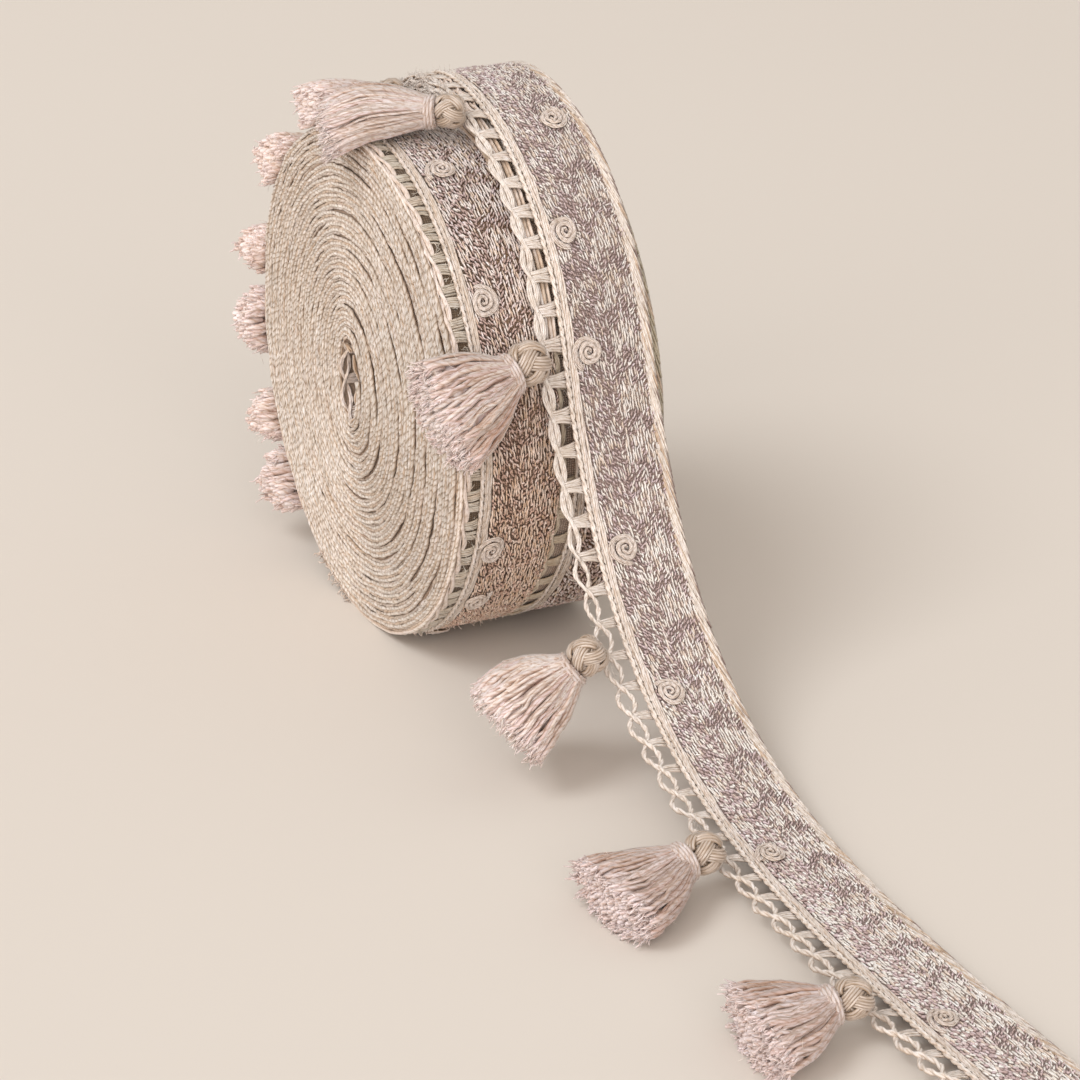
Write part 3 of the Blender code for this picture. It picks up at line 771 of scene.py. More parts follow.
def edge_cord(bag, rib, s0, s1, seed, step=1.1, brightness=1.0, lift=0.0, body=None):
    """Bundle of plies beside the braid, a two-ply cord left of it, and small
    dark grains between them that stand for the stitch holes: painted shade."""
    body = mix(OFF_WHITE, CREAM, 0.5) * 0.94 if body is None else body
    s = np.arange(s0, s1, step)
    pad = np.arange(s0, s1, step * 2.5)
    tube(bag, rib.at(pad, 0.85, lift - 0.62), 0.66, TAN * 0.74 * brightness, sides=4,
         ref=rib.outward(pad), flat=0.8)
    for k in range(4):
        u = 0.66 + 0.50 * k + wob(s, ((13, 0.09), (5.0, 0.05)), seed + k)
        n = -0.12 - 0.10 * (k in (0, 3)) + wob(s, ((17, 0.12), (7, 0.05)), seed + 20 + k) + lift
        c = mix(body, TAN, np.clip(0.22 + 0.22 * wob(s, ((9, 1.0),), seed + 40 + k), 0, 0.6))
        tube(bag, rib.at(s, u, n), 0.36, c[None] * brightness, sides=4, ref=rib.outward(s),
             shade=0.5)
    for k in range(2):
        t = 2 * np.pi * s / 4.6 + np.pi * k + wob(s, ((14, 0.4),), seed + 7)
        u = -0.26 + 0.27 * np.sin(t)
        n = -0.05 + 0.27 * np.cos(t) + lift
        c = mix(body * 1.03, CREAM, 0.4 + 0.3 * wob(s, ((7, 1.0),), seed + 60 + k))
        tube(bag, rib.at(s, u, n), 0.40, c[None] * brightness, sides=4, ref=rib.outward(s),
             shade=0.5)
    r = np.random.default_rng(seed + 5)
    # painted shade: small dark grains stand for the shadowed stitch holes
    hole = np.arange(s0 + 1, s1 - 1, 1.9)
    n = len(hole)
    grains(bag, rib.at, hole + r.uniform(-0.3, 0.3, n), 0.36 + r.uniform(-0.06, 0.06, n),
           r.normal(0.1, 0.2, n), r.uniform(0.5, 0.8, n), np.full(n, 0.30),
           np.full(n, 0.2), np.full(n, lift + 0.10),
           np.broadcast_to(TAN * 0.34, (n, 3)), full=False)


def ladder(bag, rib, s0, s1, seed, first, slack, brightness=1.0, step=0.9, lift=0.0,
           tint=None, rung_tint=None, plies=3, spread=1.0, root_wide=1.0, threads=4,
           sides=5, stout=1.0):
    """Outer chain: two yarns that cross at every rung and open into an oval
    between rungs. slack(s): 0 where each yarn lies flat and wide, so that the
    ovals are tight pods, 1 where both are round plied cords and hang open.
    Rungs fan from each crossing to the edge cord."""
    cream = mix(OFF_WHITE, CREAM, 0.4) * 0.92 if tint is None else tint
    rung_tint = cream if rung_tint is None else rung_tint
    s = np.arange(s0, s1, step)
    sl = slack(s)
    wave = np.pi * (s - first) / RUNG_PITCH + np.pi / 2
    wander = wob(s, ((31, 0.14), (13, 0.12)), seed)
    fat = np.abs(np.sin(wave)) * (1 + 0.10 * wob(s, ((16, 1.0),), seed + 2))
    for half in (1, -1):
        mid_u = -5.15 + wander + half * (0.80 + 0.92 * sl) * np.sin(wave) * (
            1 + 0.10 * wob(s, ((21, 1.0),), seed + 4 + half))
        mid_n = -0.45 + 0.36 * half * np.cos(wave) + lift
        for k in range(plies):
            o = (k - (plies - 1) / 2) / (plies - 1)
            wide = (0.34 + 0.54 * fat ** 0.8) * (1 - sl)
            ply = 2 * np.pi * s / 4.6 + np.pi * (k % 2) + half
            u = mid_u + o * wide + 0.29 * sl * np.cos(ply) + wob(s, ((5, 0.03),), seed + k)
            n = mid_n - 0.4 * o * o * (1 - sl) + 0.29 * sl * np.sin(ply) - 0.12 * half * o
            shown = 1.0 if k < 2 else 1.0 - sl
            c = mix(cream, TAN, np.clip(0.08 + 0.15 * wob(s, ((8, 1.0),), seed + 9 * k + half),
                                        0, 0.5))
            r = stout * (0.29 + 0.10 * sl) * (1 - 0.7 * (1 - shown)) * (
                1 + 0.08 * wob(s, ((3.1, 0.8),), seed + k + 3))
            tube(bag, rib.at(s, u, n), r, c[None] * brightness, sides=sides,
                 ref=rib.outward(s), shade=0.5)
    k0 = math.ceil((s0 + 1.5 - (first + RUNG_PITCH / 2)) / RUNG_PITCH)
    r = np.random.default_rng(seed + 3)
    cross = first + RUNG_PITCH / 2 + RUNG_PITCH * np.arange(k0, k0 + 200)
    cross = cross[(cross < s1 - 2.0) & (cross > s0 + 2.0)]
    t = np.linspace(0, 1, 6)[None]
    sl = slack(cross)[:, None]
    for j in range(2 * threads):
        group = -1 if j < threads else 1
        within = (j % threads) - (threads - 1) / 2
        fan = (group * 0.30 * (threads - 0.6) + within * 0.44) * spread
        root = (group * 0.15 * threads + within * 0.27) * root_wide
        jit = r.normal(0, 0.09, (3, len(cross), 1))
        a = cross[:, None] + root * (1 - 0.25 * sl) + jit[0]
        b = cross[:, None] + fan * (1 - 0.30 * sl) + jit[1]
        ss = a + (b - a) * t ** 2.1
        uu = -5.0 + (5.0 - 0.5) * t + 0 * ss
        nn = (-0.40 + 0.30 * np.sin(np.pi * t) + 0.6 * jit[2] + lift - 0.1 * t
              - 0.09 * abs(within))
        col = mix(rung_tint, TAN, np.clip(r.normal(0.14, 0.14, len(cross)), 0, 0.5)) * brightness
        tone = 0.88 + 0.12 * r.random((len(cross), 1))
        size = np.broadcast_to(0.315 - 0.04 * sl, ss.shape)
        if j in (1, 6):
            size = size * (1 - 0.5 * sl)
        tube(bag, rib.at(ss, uu, nn), size, col * tone, sides=4,
             ref=rib.outward(ss), shade=0.42)


def selvedge(bag, rib, s0, s1, seed, pitch=2.3, brightness=1.0, tint=None, rows=3, mark=True):
    """Long slanting floats that bind the braid's right edge."""
    r = np.random.default_rng(seed)
    body = CREAM if tint is None else tint
    t = np.linspace(0, 1, 6)[None]
    length = 7.6
    for row, (ua, ub) in enumerate(((18.4, 19.9), (18.9, 20.5), (19.6, 21.35))):
        if row < 3 - rows:
            continue
        s = np.arange(s0, s1 - length * 0.7, pitch) + row * 0.8
        s = (s + r.uniform(-0.3, 0.3, s.shape))[:, None]
        end = np.minimum(s + length + r.normal(0, 0.5, s.shape), s1)
        ss = s + (end - s) * t
        uu = ua + (ub - ua) * (t ** 1.1) + r.normal(0, 0.05, s.shape)
        nn = -0.12 + 0.24 * np.sin(np.pi * np.clip(t, 0.02, 1)) ** 0.7 - 0.5 * np.clip(
            (uu - 20.2) / 1.3, 0, 1) ** 2 + r.normal(0, 0.04, s.shape)
        tone = r.random(len(s))[:, None]
        col = body * (0.78 + 0.22 * tone)
        col = np.where(r.random((len(s), 1)) < 0.25, TAN * (0.80 + 0.2 * tone), col) * brightness
        col = np.repeat(col[:, None], 6, axis=1)
        if mark:
            tip = (r.random(len(s)) < (0.25, 0.25, 0.5)[row])[:, None, None]
            w = (np.arange(6) > 3)[None, :, None]
            col = np.where(tip & w, MAUVE_DARK * 0.7, col)
        tube(bag, rib.at(ss, uu, nn), 0.32, col, sides=4, ref=rib.outward(ss), shade=0.62)
    s = np.arange(s0, s1, 2.2)
    tube(bag, rib.at(s, 21.35 + wob(s, ((9, 0.04),), seed), -0.72), 0.34,
         OLIVE * 0.72 * brightness, sides=4, ref=rib.outward(s), shade=0.4)


def build_loose():
    cloth = Bag()
    cloth_grid(cloth, LOOSE, 0, LOOSE.length, 2.45, 21.3, -0.12, 1.55, 210, 12,
               lambda s, u: ground_colour(s, u))
    base = cloth.make("loose_braid_cloth", M_GROUND, "braid", "loose_braid")
    top = Bag()
    # painted light: the floats grow brighter down the hanging part of the loose end
    jacquard(top, LOOSE, 0.4, LOOSE.length - 0.4, 1.42, 21, u1=19.7,
             brightness=lambda s: 1.0 + 0.13 * np.clip((s - 110) / 50, 0, 1)
             + 0.12 * np.clip((s - 200) / 80, 0, 1))
    stitches = top.make("loose_braid_stitches", M_GRAIN, "braid")
    back = Bag()
    jacquard(back, LOOSE, 40, LOOSE.length - 0.4, 0.45, 22, big=1.8, brightness=0.9, under=True,
             u1=21.0, full=False)
    floats = back.make("loose_braid_back_floats", M_GRAIN, "braid")
    edge = Bag()
    selvedge(edge, LOOSE, 0.2, LOOSE.length - 0.2, 23, pitch=1.9, rows=2,
             tint=mix(OFF_WHITE, CREAM, 0.5))
    bind = edge.make("loose_selvedge", M_EDGE, "braid")
    cord = Bag()
    edge_cord(cord, LOOSE, 0.2, LOOSE.length - 0.1, 31, step=1.0)
    cords = cord.make("loose_edge_cord", M_EDGE, "edge_cord", "loose_cord")
    rail = Bag()
    ladder(rail, LOOSE, 0.4, LOOSE.length - 0.2, 37, FIRST_HOLE,
           lambda s: np.clip((s - 142) / 32, 0, 1))
    # slack yarns under the ladder where it leaves the top of the roll
    s = np.arange(0.8, 46.0, 1.5)
    for k in range(7):
        u = -4.9 + 0.70 * k + wob(s, ((12, 0.35), (5.2, 0.22)), 700 + k)
        n = -1.15 + wob(s, ((9, 0.28),), 720 + k)
        c = mix(CREAM, TAN, np.clip(0.3 + 0.3 * wob(s, ((14, 1.0),), 740 + k), 0, 0.8)) * 0.98
        tube(rail, LOOSE.at(s, u, n), 0.44, c[None], sides=4, ref=LOOSE.outward(s), shade=0.5)
    s = np.arange(44.0, 112.0, 2.2)
    for k in range(4):
        u = -4.3 + 1.0 * k + wob(s, ((22, 0.2),), 760 + k)
        c = mix((TAN * 0.9, GREY_BEIGE, TAN * 0.85, TAN)[k], CREAM, np.clip(0.2 + 0.4 * wob(
            s, ((17, 1.0),), 780 + k), 0, 0.8))
        tube(rail, LOOSE.at(s, u, -1.7 + wob(s, ((15, 0.15),), 790 + k)), 0.52, c[None],
             sides=4, ref=LOOSE.outward(s), shade=0.4)
    # and down the left side of its first bend, where they hang out in a fuzz
    s = np.arange(0.8, 40.0, 1.9)
    for k in range(5):
        u = (-6.0, -6.2, -5.9, -5.5, -5.0)[k] + wob(s, ((11, 0.3), (4.7, 0.2)), 800 + k)
        n = -1.1 - 0.95 * k + wob(s, ((9, 0.4),), 820 + k)
        c = mix(OFF_WHITE, CREAM, np.clip(0.3 + 0.4 * wob(s, ((12, 1.0),), 840 + k), 0, 1))
        tube(rail, LOOSE.at(s, u, n), 0.52, c[None], sides=4, ref=LOOSE.outward(s),
             shade=0.3)
    r = np.random.default_rng(33)
    s = r.uniform(1, 36, 170)
    spots = LOOSE.at(s, r.uniform(-6.6, -5.2, 170), r.uniform(-3.6, -0.2, 170))
    hairs(rail, spots, LOOSE.outward(s) * 0.5 + np.array([-0.8, 0, 0]), 34, (1.2, 2.8), 0.16,
          OFF_WHITE, 0.9)
    r = np.random.default_rng(31)
    s = np.concatenate([r.uniform(2, 48, 110), r.uniform(48, 250, 150)])
    spots = LOOSE.at(s, np.where(r.random(260) < 0.6, r.uniform(-6.2, -4.6, 260),
                                 r.uniform(-1.2, 0.6, 260)), 0.1)
    hairs(rail, spots, LOOSE.outward(s), 32, (0.9, 2.6), 0.055, OFF_WHITE, 0.5)
    lace = rail.make("loose_ladder_yarn", M_EDGE, "edge_cord", "loose_edging")
    return base, [stitches, floats, bind, cords, lace]


# ---- the wound roll --------------------------------------------------
def rim(angle_deg, lane2):
    a = np.radians(angle_deg)
    if lane2:
        r = lane2_radius(np.where(angle_deg < 119, angle_deg + 360, angle_deg))
    else:
        r = np.full_like(a, LANE1_RADIUS)
    return -r * np.cos(a), CENTRE_Z + r * np.sin(a)


def eye_point(angle_deg):
    a = np.radians(angle_deg)
    return (EYE_CENTRE[0] - EYE_HALF[0] * np.cos(a),
            EYE_CENTRE[1] + EYE_HALF[1] * np.sin(a))


def core():
    """The wound body just under the yarns: a ring lofted from eye to rim."""
    angles = np.concatenate([np.linspace(119.2, 360 + 118.2, 300)])
    a = np.radians(angles)
    ey, ez = eye_point(angles)
    r1 = np.full_like(a, LANE1_RADIUS - 0.75)
    r2 = lane2_radius(angles) - 0.75
    cols = []

    def ring(x, share, r):
        y = ey + (-r * np.cos(a) - ey) * share
        z = ez + (CENTRE_Z + r * np.sin(a) - ez) * share
        cols.append(np.stack([np.broadcast_to(x, y.shape), y, z], -1))

    right = np.full_like(a, ROLL_WIDTH + 0.15)
    for share in (0.0, 0.1, 0.3, 0.5, 0.7, 0.9, 0.985):
        ring(0.38, share, r1)
    for x in (1.3, 6, 12, 18, 24.4):
        ring(x, 1.0, r1)
    for x in (24.9, 32, 40, 47):
        ring(x, 1.0, r2)
    ring(right - 0.9, 1.0, r2)
    for share in (0.985, 0.9, 0.7, 0.5, 0.3, 0.1, 0.0):
        ring(right - 0.7, share, r2)
    for x in (36.0, 24.0, 12.0):
        ring(x, 0.0, r1)
    v = np.stack(cols, 1)
    n, m = v.shape[:2]
    i, k = np.meshgrid(np.arange(n), np.arange(m), indexing="ij")
    a0 = (i * m + k).ravel()
    b0 = (((i + 1) % n) * m + k).ravel()
    c0 = (((i + 1) % n) * m + (k + 1) % m).ravel()
    d0 = (i * m + (k + 1) % m).ravel()
    quads = np.stack([a0, d0, c0, b0], -1)
    s = np.broadcast_to((np.radians(angles) * 60)[:, None], (n, m))
    prof = np.concatenate([[0], np.cumsum(np.linalg.norm(np.diff(v[0], axis=0), axis=-1))])
    w = np.broadcast_to(prof[None], (n, m))
    fib = np.stack([s, w, np.zeros_like(s)], -1)
    col = np.broadcast_to(CORE, (n, m, 3)).copy()
    x = v[..., 0]
    tread = (x > 1.2) & (x < 49) & (np.arange(m)[None] < 17)
    ground = ground_colour(s, np.clip((x - 5.3) / 0.9, 2.5, 20))
    # the tread's ground shows only in the gaps between floats: tinted browner, partly its own
    # colour, partly painted shade in those gaps
    col[tread] = (ground * np.array([1.10, 0.95, 0.76]))[tread]
    col[tread & (x < 7)] = srgb(122, 102, 82)
    # painted light: the core between the two lanes, seen through the ladder holes, is made pale so
    # it does not go dark where little light reaches
    col[tread & (x > 24.6) & (x < 31)] = srgb(235, 212, 190)
    bag = Bag()
    bag.add(v, quads, None, col.reshape(-1, 3), fib)
    return bag.make("roll_wound_body", M_CORE, "wound_trimming", "roll_coil")


# One wound turn's edge, from its outside in. Columns: place in the turn,
# yarn radius, how far it stands proud, its own waviness.
TURN_EDGE = (
    (0.05, 0.46, 0.20, 0.10), (0.30, 0.43, 0.02, 0.08), (0.54, 0.45, 0.13, 0.08),
    (0.79, 0.43, -0.02, 0.08),
)


def face_strands(bag, lane2, x0, out, rows, step, seed, palette, turns=TURNS,
                 sides=5):
    """The edges of the wound turns: yarns that spiral from rim to eye."""
    start = 119.4 if lane2 else 16.0
    total = turns * 360.0
    theta, ang = [], 0.0
    while ang < total:
        theta.append(ang)
        ang += math.degrees(step / max(60.0 - 52.0 * ang / total, 7.0))
    theta = np.array(theta)
    ry, rz = rim((theta + start) % 360.0, lane2)
    ey, ez = eye_point(theta + start)
    reach = np.hypot(ry - ey, rz - ez)
    dist = np.arange(len(theta)) * step
    # painted light falloff: the turns are darkened towards the back and the front of the face
    painted_falloff = 1 - 0.15 * np.clip((ry - ey) / 50, 0, 1) - 0.20 * np.clip((ey - ry) / 45, 0, 1)
    slow = wob(dist, ((97, 0.30), (41, 0.16)), seed)
    swell = wob(dist, ((120, 0.22), (47, 0.14)), seed + 1)
    for k, (frac, radius, proud, wavy) in enumerate(rows):
        share = 1.0 - (theta / 360.0 + frac) / (turns + 0.5)
        own = wob(dist, ((23, wavy), (8.3, wavy * 0.8), (4.1, 0.03)), seed + 11 * k)
        sh = np.clip(share + (slow + own) / reach, 0.004, 0.992)
        y, z = ey + (ry - ey) * sh, ez + (rz - ez) * sh
        x = x0 + out * (proud + swell + wob(dist, ((19, 0.10), (7.0, 0.06)), seed + 31 + k))
        blotch = np.clip(0.45 + 0.5 * wob(dist, ((61, 0.5), (19, 0.4)), seed + 77 + k), 0, 1)
        tone = painted_falloff * (0.985 + 0.12 * wob(dist, ((33, 0.4), (9.1, 0.4), (5.3, 0.4)),
                                         seed + 91 + k))
        one, two = palette[k % len(palette)]
        c = mix(one, two, blotch) * tone[:, None]
        if k == len(rows) - 1:
            # the slot between two turns, shut in places; the yarn that sinks into it is painted
            # darker as shade
            gap = np.clip(wob(dist, ((29, 0.8), (11, 0.8)), seed + 55) - 0.3, 0, 1.2)
            x = x - out * 0.18 * gap
            c = c * (1 - 0.16 * gap)[:, None]
        size = radius * np.clip(reach / 50.0, 1.0, 1.3) * (
            1 + 0.17 * wob(dist, ((5.8, 0.6), (3.7, 0.8)), seed + k))
        for b in range(0, len(theta) - 3, 220):
            e = min(len(theta), b + 221)
            path = np.stack([x[b:e], y[b:e], z[b:e]], -1)
            tube(bag, path, size[b:e], c[b:e][None], sides=sides,
                 ref=np.array([out, 0.0, 0.0]), shade=0.62, hand=1 - 2 * (k % 2))


def eye_wall():
    """The innermost turn's ladder edge, seen on the wall of the eye."""
    ang = np.linspace(360 + 60, 60, 360)
    a = np.radians(ang)
    hy, hz = EYE_HALF[0] - 0.75, EYE_HALF[1] - 0.75
    y, z = EYE_CENTRE[0] - hy * np.cos(a), EYE_CENTRE[1] + hz * np.sin(a)
    oy, oz = np.cos(a) / hy, -np.sin(a) / hz
    ln = np.hypot(oy, oz)
    s = np.concatenate([[0], np.cumsum(np.hypot(np.diff(y), np.diff(z)))])
    rib = Ribbon(s, y, z, np.full_like(s, 5.5), np.zeros_like(s), oy / ln, oz / ln,
                 1.0, 0.9)
    bag = Bag()
    end = rib.length - 0.3
    ladder(bag, rib, 0.3, end, 71, 2.0, lambda q: 0.35 + 0 * q, tint=CREAM, brightness=0.95,
           step=0.7)
    edge_cord(bag, rib, 0.3, end, 73, step=1.2, brightness=0.95)
    jacquard(bag, rib, 0.3, end, 1.0, 75, big=1.2, brightness=0.85, warm=0.3, full=False)
    cloth_grid(bag, rib, 0.2, end, -5.0, 36.0, -0.85, 0.4, 60, 20,
               lambda p, u: np.where((u < 2.5)[..., None], srgb(150, 138, 112) + 0 * p[..., None],
                                     ground_colour(p, np.clip(u, 2.5, 18)) * 0.9))
    bag.make("roll_eye_wall_yarn", M_EDGE, "wound_trimming")


def hairs(bag, where, away, seed, size=(0.8, 2.6), thick=0.075, colour=None, curl=0.45):
    """Loose fibres: short curved hairs that start at each point of where."""
    r = np.random.default_rng(seed)
    n = len(where)
    way = unit(np.broadcast_to(away, where.shape) + r.normal(0, 0.55, where.shape))
    long = r.uniform(*size, (n, 1))
    p = [where]
    for k in range(3):
        way = unit(way + r.normal(0, curl, way.shape))
        p.append(p[-1] + way * long / 3)
    c = mix(colour if colour is not None else CREAM, TAN, r.uniform(0, 0.6, n))
    tube(bag, np.stack(p, 1), np.array([1.0, 0.9, 0.75, 0.45])[None] * thick, c, sides=3)


def build_roll():
    core()
    bag = Bag()
    tan = srgb(230, 203, 177)
    palette = ((OFF_WHITE, CREAM), (mix(tan, CREAM, 0.2), tan * 0.95),
               (OFF_WHITE, mix(CREAM, MAUVE_LIGHT, 0.5)), (CREAM * 0.94, tan * 0.88))
    face_strands(bag, False, 0.15, -1.0, TURN_EDGE, 1.2, 101, palette)
    # the turn below, where the outermost one has not yet begun
    a = np.radians(np.linspace(-215, 20, 150))
    for k in range(4):
        rad = LANE1_RADIUS - 0.45 - 0.70 * k + wob(a * 60, ((23, 0.10), (8, 0.06)), 170 + k)
        path = np.stack([0.42 + wob(a * 60, ((19, 0.10),), 180 + k), -rad * np.cos(a),
                         CENTRE_Z + rad * np.sin(a)], -1)
        one, two = palette[k]
        c = mix(one, two, np.clip(0.45 + 0.5 * wob(a * 60, ((31, 1.0),), 190 + k), 0, 1)) * 0.94
        tube(bag, path, 0.43, c[None], sides=5, ref=np.array([-1.0, 0, 0]), shade=0.72)
    bag.make("roll_left_edges", M_COIL, "wound_trimming")
    bag = Bag()
    face_strands(bag, True, ROLL_WIDTH - 0.25, 1.0, TURN_EDGE, 3.4, 141, palette, sides=4)
    bag.make("roll_right_edges", M_COIL, "wound_trimming")
    eye_wall()

    # outer turn of the first lane: browned in its lower front as painted bounce
    # light from the floor, pale under the first tassel
    def warm(s):
        return 0.12 + 0.55 * np.clip((s - 60) / 80, 0, 1) * np.clip((330 - s) / 100, 0.4, 1)

    def plain(s):
        return 0.75 * np.clip((52 - s) / 16, 0, 1) + 0.25 * np.clip((s - 120) / 40, 0, 1)

    top = Bag()
    def wild(s):
        return 0.1 + 0.65 * np.clip((s - 95) / 50, 0, 1)

    jacquard(top, LANE1, 1, 205, 1.3, 51, big=1.1, brightness=0.98, warm=warm, plain=plain,
             u1=21.0, wild=wild)
    jacquard(top, LANE1, 205, LANE1.length - 1, 0.8, 52, big=1.5, brightness=1.1, warm=0.3,
             u1=21.0, full=False)
    top.make("lane1_braid_stitches", M_GRAIN, "wound_trimming")
    edge = Bag()
    body = mix(CREAM, OLIVE, 0.45) * 0.92
    edge_cord(edge, LANE1, 1, LANE1.length - 1, 53, step=1.35, body=body)
    ladder(edge, LANE1, 1, LANE1.length - 1, 55, 3.0, lambda s: 0.1 + 0 * s,
           step=1.2, tint=mix(CREAM, TAN, 0.2), rung_tint=OLIVE * 0.98, lift=0.05, spread=1.3,
           root_wide=1.8, threads=5, sides=4, stout=1.25)
    a = np.linspace(0, 2 * np.pi, 260)[:-1]
    for k, (x, rr, c) in enumerate(((0.30, 59.75, CREAM),)):
        rad = rr + wob(a * 60, ((29, 0.08), (11, 0.06)), 80 + k)
        path = np.stack([x + wob(a * 60, ((23, 0.08),), 90 + k), -rad * np.cos(a),
                         CENTRE_Z + rad * np.sin(a)], -1)
        tube(edge, path, 0.42, c, sides=5, ref=np.array([-0.5, 0, 0]) + np.stack(
            [0 * a, -np.cos(a), np.sin(a)], -1), shade=0.45)
    r = np.random.default_rng(5)
    spots = LANE1.at(r.uniform(2, LANE1.length - 2, 420), r.uniform(-4.6, -0.9, 420), -0.75)
    hairs(edge, spots, (spots - [0, 0, CENTRE_Z]) * [0, 1, 1] / 60, 6, (1.2, 2.6), 0.15,
          OLIVE * 0.85, 0.9)
    # frayed yarn low on the rim and along the foot of the tread
    for lo, hi, x0, x1, n, size in ((243, 262, -0.5, 2.2, 110, (1.2, 2.6)),
                                    (284, 312, 3.0, 25.5, 190, (0.9, 2.2))):
        a = np.radians(r.uniform(lo, hi, n))
        rr = LANE1_RADIUS + r.uniform(-1.6, 0.1, n)
        away = np.stack([np.full(n, -0.6 if x0 < 0 else 0.0), -np.cos(a), np.sin(a)], -1)
        spots = np.array([0, 0, CENTRE_Z]) + away * [0, 1, 1] * rr[:, None]
        spots[:, 0] = r.uniform(x0, x1, n)
        hairs(edge, spots, away, 12, size, 0.2, mix(TAN, CREAM, 0.5), 0.8)
    edge.make("lane1_edge_yarn", M_EDGE, "wound_trimming")

    # outer turn of the second lane
    top = Bag()
    jacquard(top, LANE2, 1, LANE2.length - 0.5, 0.85, 61, big=1.35, brightness=1.05, warm=0.3,
             full=False)
    top.make("lane2_braid_stitches", M_GRAIN, "wound_trimming")
    edge = Bag()
    edge_cord(edge, LANE2, 1, LANE2.length - 0.5, 63, step=2.0, body=body)
    ladder(edge, LANE2, 1, LANE2.length - 0.5, 65, 5.0, lambda s: 0.1 + 0 * s, step=1.8,
           tint=srgb(225, 209, 184), rung_tint=srgb(208, 192, 168), lift=0.35, sides=4)
    selvedge(edge, LANE2, 1, LANE2.length - 0.5, 67, pitch=2.8, brightness=0.9,
             tint=srgb(214, 202, 176), rows=2, mark=False)
    # the second lane's own turns, where it stands above the first
    for k in range(11):
        radius = LANE1_RADIUS - 0.05 + 0.72 * k
        ang = np.linspace(477.5, 119.5, 250)
        ok = lane2_radius(ang) - 0.45 > radius
        edges = np.flatnonzero(np.diff(np.concatenate([[0], ok.astype(int), [0]])))
        for a0, a1 in zip(edges[::2], edges[1::2]):
            if a1 - a0 < 4:
                continue
            a = np.radians(ang[a0:a1])
            rr = radius + wob(a * 60, ((23, 0.12), (9, 0.08)), 600 + k)
            x = 24.55 - 0.10 * (k % 2) + wob(a * 60, ((17, 0.10),), 640 + k)
            path = np.stack([x, -rr * np.cos(a), CENTRE_Z + rr * np.sin(a)], -1)
            one = (CREAM, TAN, MAUVE, GREY_BEIGE)[k % 4]
            c = mix(one, TAN * 0.95, np.clip(0.3 + 0.4 * wob(a * 60, ((31, 1.0),), k), 0, 1))
            tube(edge, path, 0.40, c[None], sides=4, ref=np.array([-1.0, 0, 0]), shade=0.5)
    edge.make("lane2_edge_yarn", M_EDGE, "wound_trimming")


# ---- tassels ---------------------------------------------------------
SKIRT_ROWS = np.array((
    (0.00, 0.00), (0.08, 0.06), (0.16, 0.21), (0.28, 0.44), (0.44, 0.67),
    (0.62, 0.84), (0.80, 0.95), (0.93, 1.00), (1.00, 1.00)))


def knot(bag, centre, axis, side, seed, size=3.7, threads=5, points=130):
    """Round knot woven from one bundle of parallel yarns: three passes round
    the ball, five bends to each end, over and under in turn."""
    third = np.cross(axis, side)
    k0 = size / 3.7
    # painted shade: the core ball is dark, seen only as the shade between the passes
    ball(bag, centre, 3.0 * k0, HEAD ** 1.6 * 0.42)
    tau = np.linspace(0, 2 * np.pi, points)
    thick = 0.37 * k0 * 5 / threads
    for k in range(threads):
        o = (k - (threads - 1) / 2) * 4 / (threads - 1)
        lat = np.radians(64) * np.cos(5 * tau)
        lon = 3 * tau
        r = 3.10 - 0.46 * np.sin(10 * tau)
        p = np.stack([np.cos(lat) * np.cos(lon), np.cos(lat) * np.sin(lon), np.sin(lat)], -1)
        d = unit(np.gradient(p, axis=0))
        across = np.cross(p, d)
        q = p * r[:, None] + across * (o * 0.47) + p * (0.12 * math.cos(o * 0.9))
        q = unit(q) * ((r + 0.30 * math.cos(o * 0.75)) * k0)[:, None]
        q = q * np.array([1.07, 1.03, 0.94])
        world = centre + q[:, :1] * side + q[:, 1:2] * third + q[:, 2:] * axis
        c = HEAD * (0.92 + 0.06 * ((k * 7 + seed) % 3))
        tube(bag, world, thick, c, sides=4, ref=unit(world - centre), shade=0.74)


def ball(bag, centre, radius, colour, rows=8, cols=12):
    lat = np.linspace(-np.pi / 2, np.pi / 2, rows + 1)[1:-1]
    lon = np.arange(cols) * 2 * np.pi / cols
    la, lo = np.meshgrid(lat, lon, indexing="ij")
    v = np.stack([np.cos(la) * np.cos(lo), np.cos(la) * np.sin(lo), np.sin(la)], -1)
    v = np.concatenate([v.reshape(-1, 3), [[0, 0, -1], [0, 0, 1]]]) * radius + centre
    n = rows - 1
    i, k = np.meshgrid(np.arange(n - 1), np.arange(cols), indexing="ij")
    m = (k + 1) % cols
    quads = np.stack([i * cols + k, i * cols + m, (i + 1) * cols + m, (i + 1) * cols + k],
                     -1).reshape(-1, 4)
    k = np.arange(cols)
    m = (k + 1) % cols
    tris = np.concatenate([np.stack([np.full(cols, n * cols), m, k], -1),
                           np.stack([np.full(cols, n * cols + 1), (n - 1) * cols + k,
                                     (n - 1) * cols + m], -1)])
    bag.add(v, quads, tris, colour, v * 2.0)


